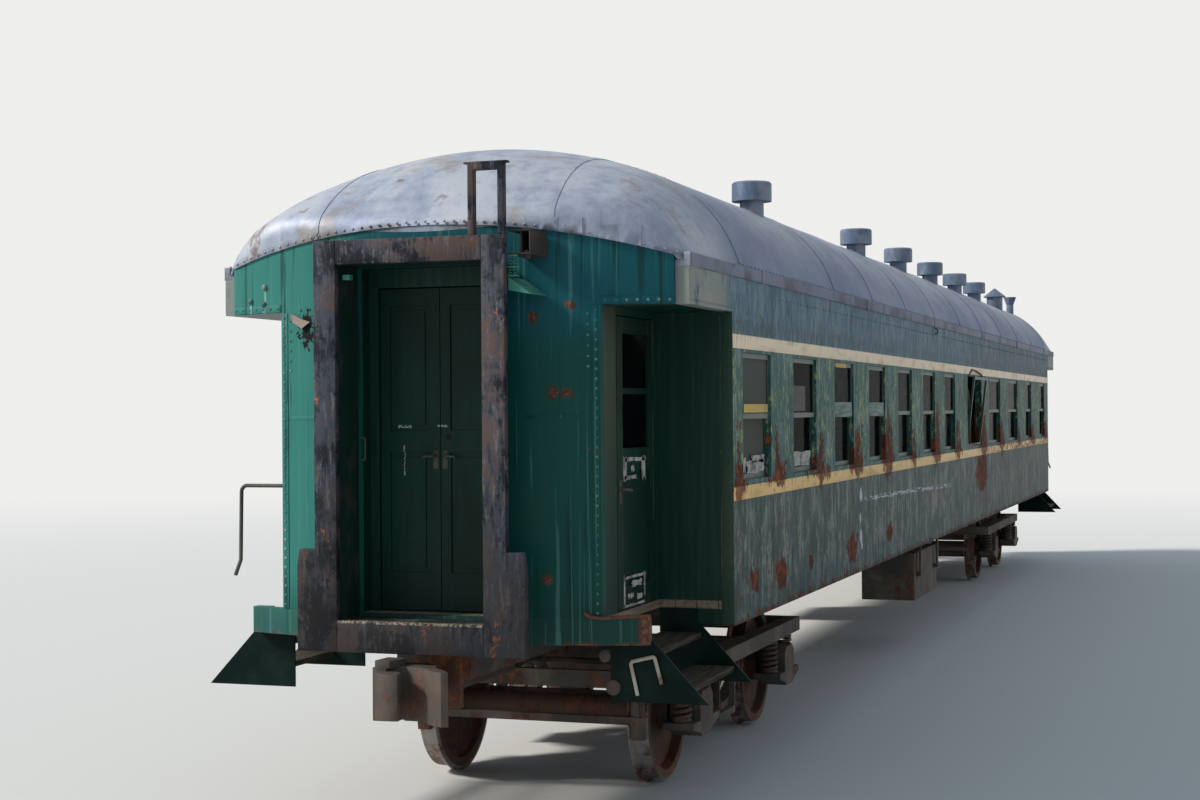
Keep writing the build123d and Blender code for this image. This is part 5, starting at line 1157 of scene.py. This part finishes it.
# Cornice: the strip along the top of each side, lilac grey, held by dark clips, with a small hook.
cornice_finish = weathered_iron("cornice_paint", (0.195, 0.2, 0.265), (0.1, 0.105, 0.13), 0.12, 97)
CORNICE_Y = 1.508
HOOK_X = -1.75
begin()
for side in (-1, 1):
    block((-SIDE_END_X, side * CORNICE_Y, 3.326), (SIDE_END_X, side * (CORNICE_Y + 0.005), 3.399))
piece("cornice_strips", cornice_finish, bevel=0.0015)
begin()
for side in (-1, 1):
    for x in spaced(-9.0, 9.0, 3.6):
        block((x - 0.02, side * CORNICE_Y, 3.318), (x + 0.02, side * (CORNICE_Y + 0.011), 3.405))
piece("cornice_clips", cornice_finish, bevel=0.001)
begin()
rod([(HOOK_X, y, z) for y, z in (
    (-1.505, 3.31), (-1.53, 3.3), (-1.535, 3.27), (-1.52, 3.25), (-CORNICE_Y, 3.26))],
    0.006, 0.008, 8)
piece("cornice_hook", handle_finish)


# Couplers: cast knuckle couplers, rough and rusted.
coupler_finish = weathered_iron(
    "coupler_casting", (0.045, 0.036, 0.032), (0.085, 0.058, 0.042), 0.35, 101)
for end, end_name in ENDS:
    dressed_copy("coupler_" + end_name, "coupler_casting_" + end_name, coupler_finish,
                 0.008)


# Steps and rails: dark green side plates with wooden treads, worn pale, and bent tube rails. By the
# front left step hang a light bar and the ends of two pipes.
STEP_GREEN = (0.002, 0.01, 0.009)
STEP_WORN = (0.006, 0.018, 0.016)
TREAD_WOOD = (0.022, 0.019, 0.016)
TREAD_WORN = (0.075, 0.064, 0.05)
STEP_MIDDLE_X = 10.2225
LIGHT_BAR_X = -10.73

f = Finish("step_paint", 0.08)
wood_part = f.step(abs(abs(f.x) - STEP_MIDDLE_X), 0.4752, 0.4745) * f.step(f.z, 1.2, 1.18)
grain = f.noise((3, 60, 60), 5, 0.6, 111)
f.colour = f.mix(f.step(f.noise(4, 6, 0.6, 112), 0.42, 0.66), STEP_GREEN, STEP_WORN)
rust_through(f, 0.1, 113)
f.lay(wood_part, f.mix(f.step(grain, 0.35, 0.65), TREAD_WOOD, TREAD_WORN))
f.show(0.5 + 0.3 * wood_part, grain, 0.0012)
f.cover(*("steps_" + corner for corner in CORNER_NAMES))
rail_iron_finish.cover("grab_rails")

light_bar = weathered_iron("light_bar", (0.5, 0.47, 0.38), (0.36, 0.3, 0.22), 0.3, 116)
begin()
rod([(LIGHT_BAR_X, y, z) for y, z in (
    (-1.19, 0.86), (-1.15, 1.04), (-1.16, 1.055), (-1.285, 1.085), (-1.295, 1.075), (-1.335, 0.93))],
    0.011, 0.006, 8)
piece("light_bar", light_bar)
begin()
for y, z, radius in ((-0.99, 1.078, 0.036), (-1.04, 0.898, 0.045)):
    rod([(-10.3, y, z), (-10.7, y, z)], radius * 0.6, sides=14)
    rod([(-10.67, y, z), (-10.725, y, z)], radius, sides=14)
piece("pipe_ends", coupler_finish, bevel=0.003)


# Saloon: boarded floor, benches with covered pads, wooden backs and slatted shelves.
FLOOR_WOOD = (0.115, 0.085, 0.06)
FLOOR_WORN = (0.23, 0.18, 0.13)
BENCH_WOOD = (0.21, 0.125, 0.06)
BENCH_WORN = (0.33, 0.22, 0.12)
PAD_GREEN = (0.035, 0.07, 0.055)
PAD_CRACKED = (0.12, 0.14, 0.11)
PAD_FROM_MIDDLE = 0.26
PAD_HALF = (0.215, 0.546)
PAD_MIDDLE_Y = 0.876
PAD_SAG = 0.022
PAD_DRAWN_IN = 0.04


def boards(name, dark, worn, grain_scale, board_width, axis, seed):
    """Planed boards with grain, gaps and wear."""
    f = Finish(name)
    along = f.y if axis == "y" else f.z
    cell = f.node("ShaderNodeMath", {"operation": "FRACT"}, {0: along * (1 / board_width)})
    gap = f.step(abs(cell - 0.5), 0.475, 0.49)
    grain = f.noise(grain_scale, 5, 0.62, seed)
    f.colour = f.mix(f.step(grain, 0.36, 0.66), dark, worn)
    f.lay(0.85 * gap, (0.02, 0.016, 0.012))
    f.show(0.6 + 0.25 * grain, grain - 3 * gap, 0.0015)
    return f


floor_finish = boards("floor_boards", FLOOR_WOOD, FLOOR_WORN, (1.6, 45, 45), 0.14, "y", 121)
floor_finish.cover("floor")
bench_finish = boards("bench_boards", BENCH_WOOD, BENCH_WORN, (40, 3, 40), 0.09, "z", 122)
bench_finish.cover("bench_backs", "luggage_racks")

f = pad_finish = Finish("pad_cover", 0.45)
cracks = f.step(f.noise(38, 5, 0.7, 125), 0.56, 0.64)
f.colour = f.mix(0.7 * cracks, PAD_GREEN, PAD_CRACKED)
f.show(0.42 + 0.3 * cracks, f.noise(160, 3) - cracks, 0.001)
copy_of("bench_seats")
bpy.ops.mesh.dissolve_limited(angle_limit=math.radians(1))
bpy.ops.mesh.subdivide(number_cuts=3)
low_pad, high_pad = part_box("bench_seats")
bench_middles = [(a + b) / 2 for a, b in zip(window_middles, window_middles[1:])]
pad_middles = [middle + off * PAD_FROM_MIDDLE for middle in bench_middles for off in (-1, 1)]
pad_mesh = bpy.context.object.data
pad_shape = bmesh.from_edit_mesh(pad_mesh)
for vert in pad_shape.verts:
    x = min((vert.co.x - middle for middle in pad_middles), key=abs)
    u = min(1.0, abs(x) / PAD_HALF[0])
    v = min(1.0, abs(abs(vert.co.y) - PAD_MIDDLE_Y) / PAD_HALF[1])
    if vert.co.z > (low_pad.z + high_pad.z) / 2:
        vert.co.z -= PAD_SAG * max(u ** 3, v ** 4)
    if u > 0.95:
        vert.co.x -= x * PAD_DRAWN_IN * (1 - v ** 2)
bmesh.update_edit_mesh(pad_mesh)
pads = piece("bench_pads", pad_finish, bevel=0.008, smooth=60,
             stands_for=("bench_seats",))


# Ground: a plain matt floor, which fades into a pale backdrop of the same tone and shows no horizon.
GROUND_HALF_SIZE = 400
GROUND = (0.62, 0.61, 0.59)
BACKGROUND = (0.86, 0.86, 0.85)
FADE_FROM, FADE_TO = 9.0, 42.0


def rays(nodes, *kinds):
    """1 for rays of these kinds."""
    return reduce(Wire.most, (nodes.node("ShaderNodeLightPath", {}, {}, kind) for kind in kinds))


bpy.ops.object.select_all(action="DESELECT")
bpy.ops.mesh.primitive_plane_add(size=2 * GROUND_HALF_SIZE)
ground = bpy.context.object
ground.name = "ground"
f = Finish("pale_ground", Roughness=0.95)
f.give(f.shader.inputs["Base Color"], GROUND)
distance = f.node("ShaderNodeVectorMath", {"operation": "LENGTH"}, {0: f.place}, 1)
seen_or_mirrored = rays(f, "Is Camera Ray", "Is Glossy Ray")
far = f.node("ShaderNodeEmission", {}, {"Color": BACKGROUND, "Strength": 1.0})
fade = f.node("ShaderNodeMixShader", {}, {0: f.step(distance, FADE_FROM, FADE_TO) * seen_or_mirrored,
                                          1: Wire(f, f.shader.outputs[0]), 2: far})
f.give(f.tree.nodes["Material Output"].inputs["Surface"], fade)
ground.data.materials.append(f.material)

# Studio light: a wide soft lamp from the right and above, as the daylight falls in the photograph,
# and an even pale surround that fills the shade.
SUN_TOWARDS = (-0.38, 0.72, 0.62)
SUN_STRENGTH = 4.0
SUN_SPREAD = math.radians(11)
SUN_COLOUR = (1.0, 0.965, 0.9)
SURROUND = (0.66, 0.83, 1.0)
SURROUND_STRENGTH = 0.48

sun_data = bpy.data.lights.new("soft_sun", "SUN")
sun_data.energy = SUN_STRENGTH
sun_data.color = SUN_COLOUR
sun_data.angle = SUN_SPREAD
sun = bpy.data.objects.new("soft_sun", sun_data)
sun.rotation_mode = "QUATERNION"
sun.rotation_quaternion = Vector(SUN_TOWARDS).to_track_quat("Z", "Y")
bpy.context.scene.collection.objects.link(sun)
world = bpy.data.worlds.new("surround")
bpy.context.scene.world = world
world.use_nodes = True
surround = Nodes(world.node_tree)
light = surround.tree.nodes["Background"]
surround.give(light.inputs["Color"], SURROUND)
surround.give(light.inputs["Strength"], SURROUND_STRENGTH)
seen = surround.node("ShaderNodeBackground", {}, {"Color": BACKGROUND, "Strength": 1.0})
choice = surround.node("ShaderNodeMixShader", {}, {
    0: rays(surround, "Is Camera Ray", "Is Glossy Ray", "Is Transmission Ray"),
    1: Wire(surround, light.outputs[0]), 2: seen})
surround.give(surround.tree.nodes["World Output"].inputs["Surface"], choice)
bpy.context.scene.view_settings.view_transform = "Standard"

# Camera: ahead of the front end and out to its left.
CAMERA_PLACE = Vector((-20.99, -4.506, 2.497))
CAMERA_YAW = math.radians(18.99)
CAMERA_PITCH = math.radians(0.318)
CAMERA_ROLL = math.radians(-0.428)
CAMERA_LENS = 56.35

ahead = Vector((math.cos(CAMERA_YAW) * math.cos(CAMERA_PITCH),
                math.sin(CAMERA_YAW) * math.cos(CAMERA_PITCH), math.sin(CAMERA_PITCH)))
level_right = Vector((math.sin(CAMERA_YAW), -math.cos(CAMERA_YAW), 0))
upright = level_right.cross(ahead)
right = math.cos(CAMERA_ROLL) * level_right + math.sin(CAMERA_ROLL) * upright
up = right.cross(ahead)
camera_data = bpy.data.cameras.new("camera")
camera_data.sensor_width = 36
camera_data.lens = CAMERA_LENS
camera_data.clip_start = 0.1
camera_data.clip_end = 2000
camera = bpy.data.objects.new("camera", camera_data)
turned = Matrix((right, up, -ahead)).transposed().to_4x4()
camera.matrix_world = Matrix.Translation(CAMERA_PLACE) @ turned
bpy.context.scene.collection.objects.link(camera)
bpy.context.scene.camera = camera
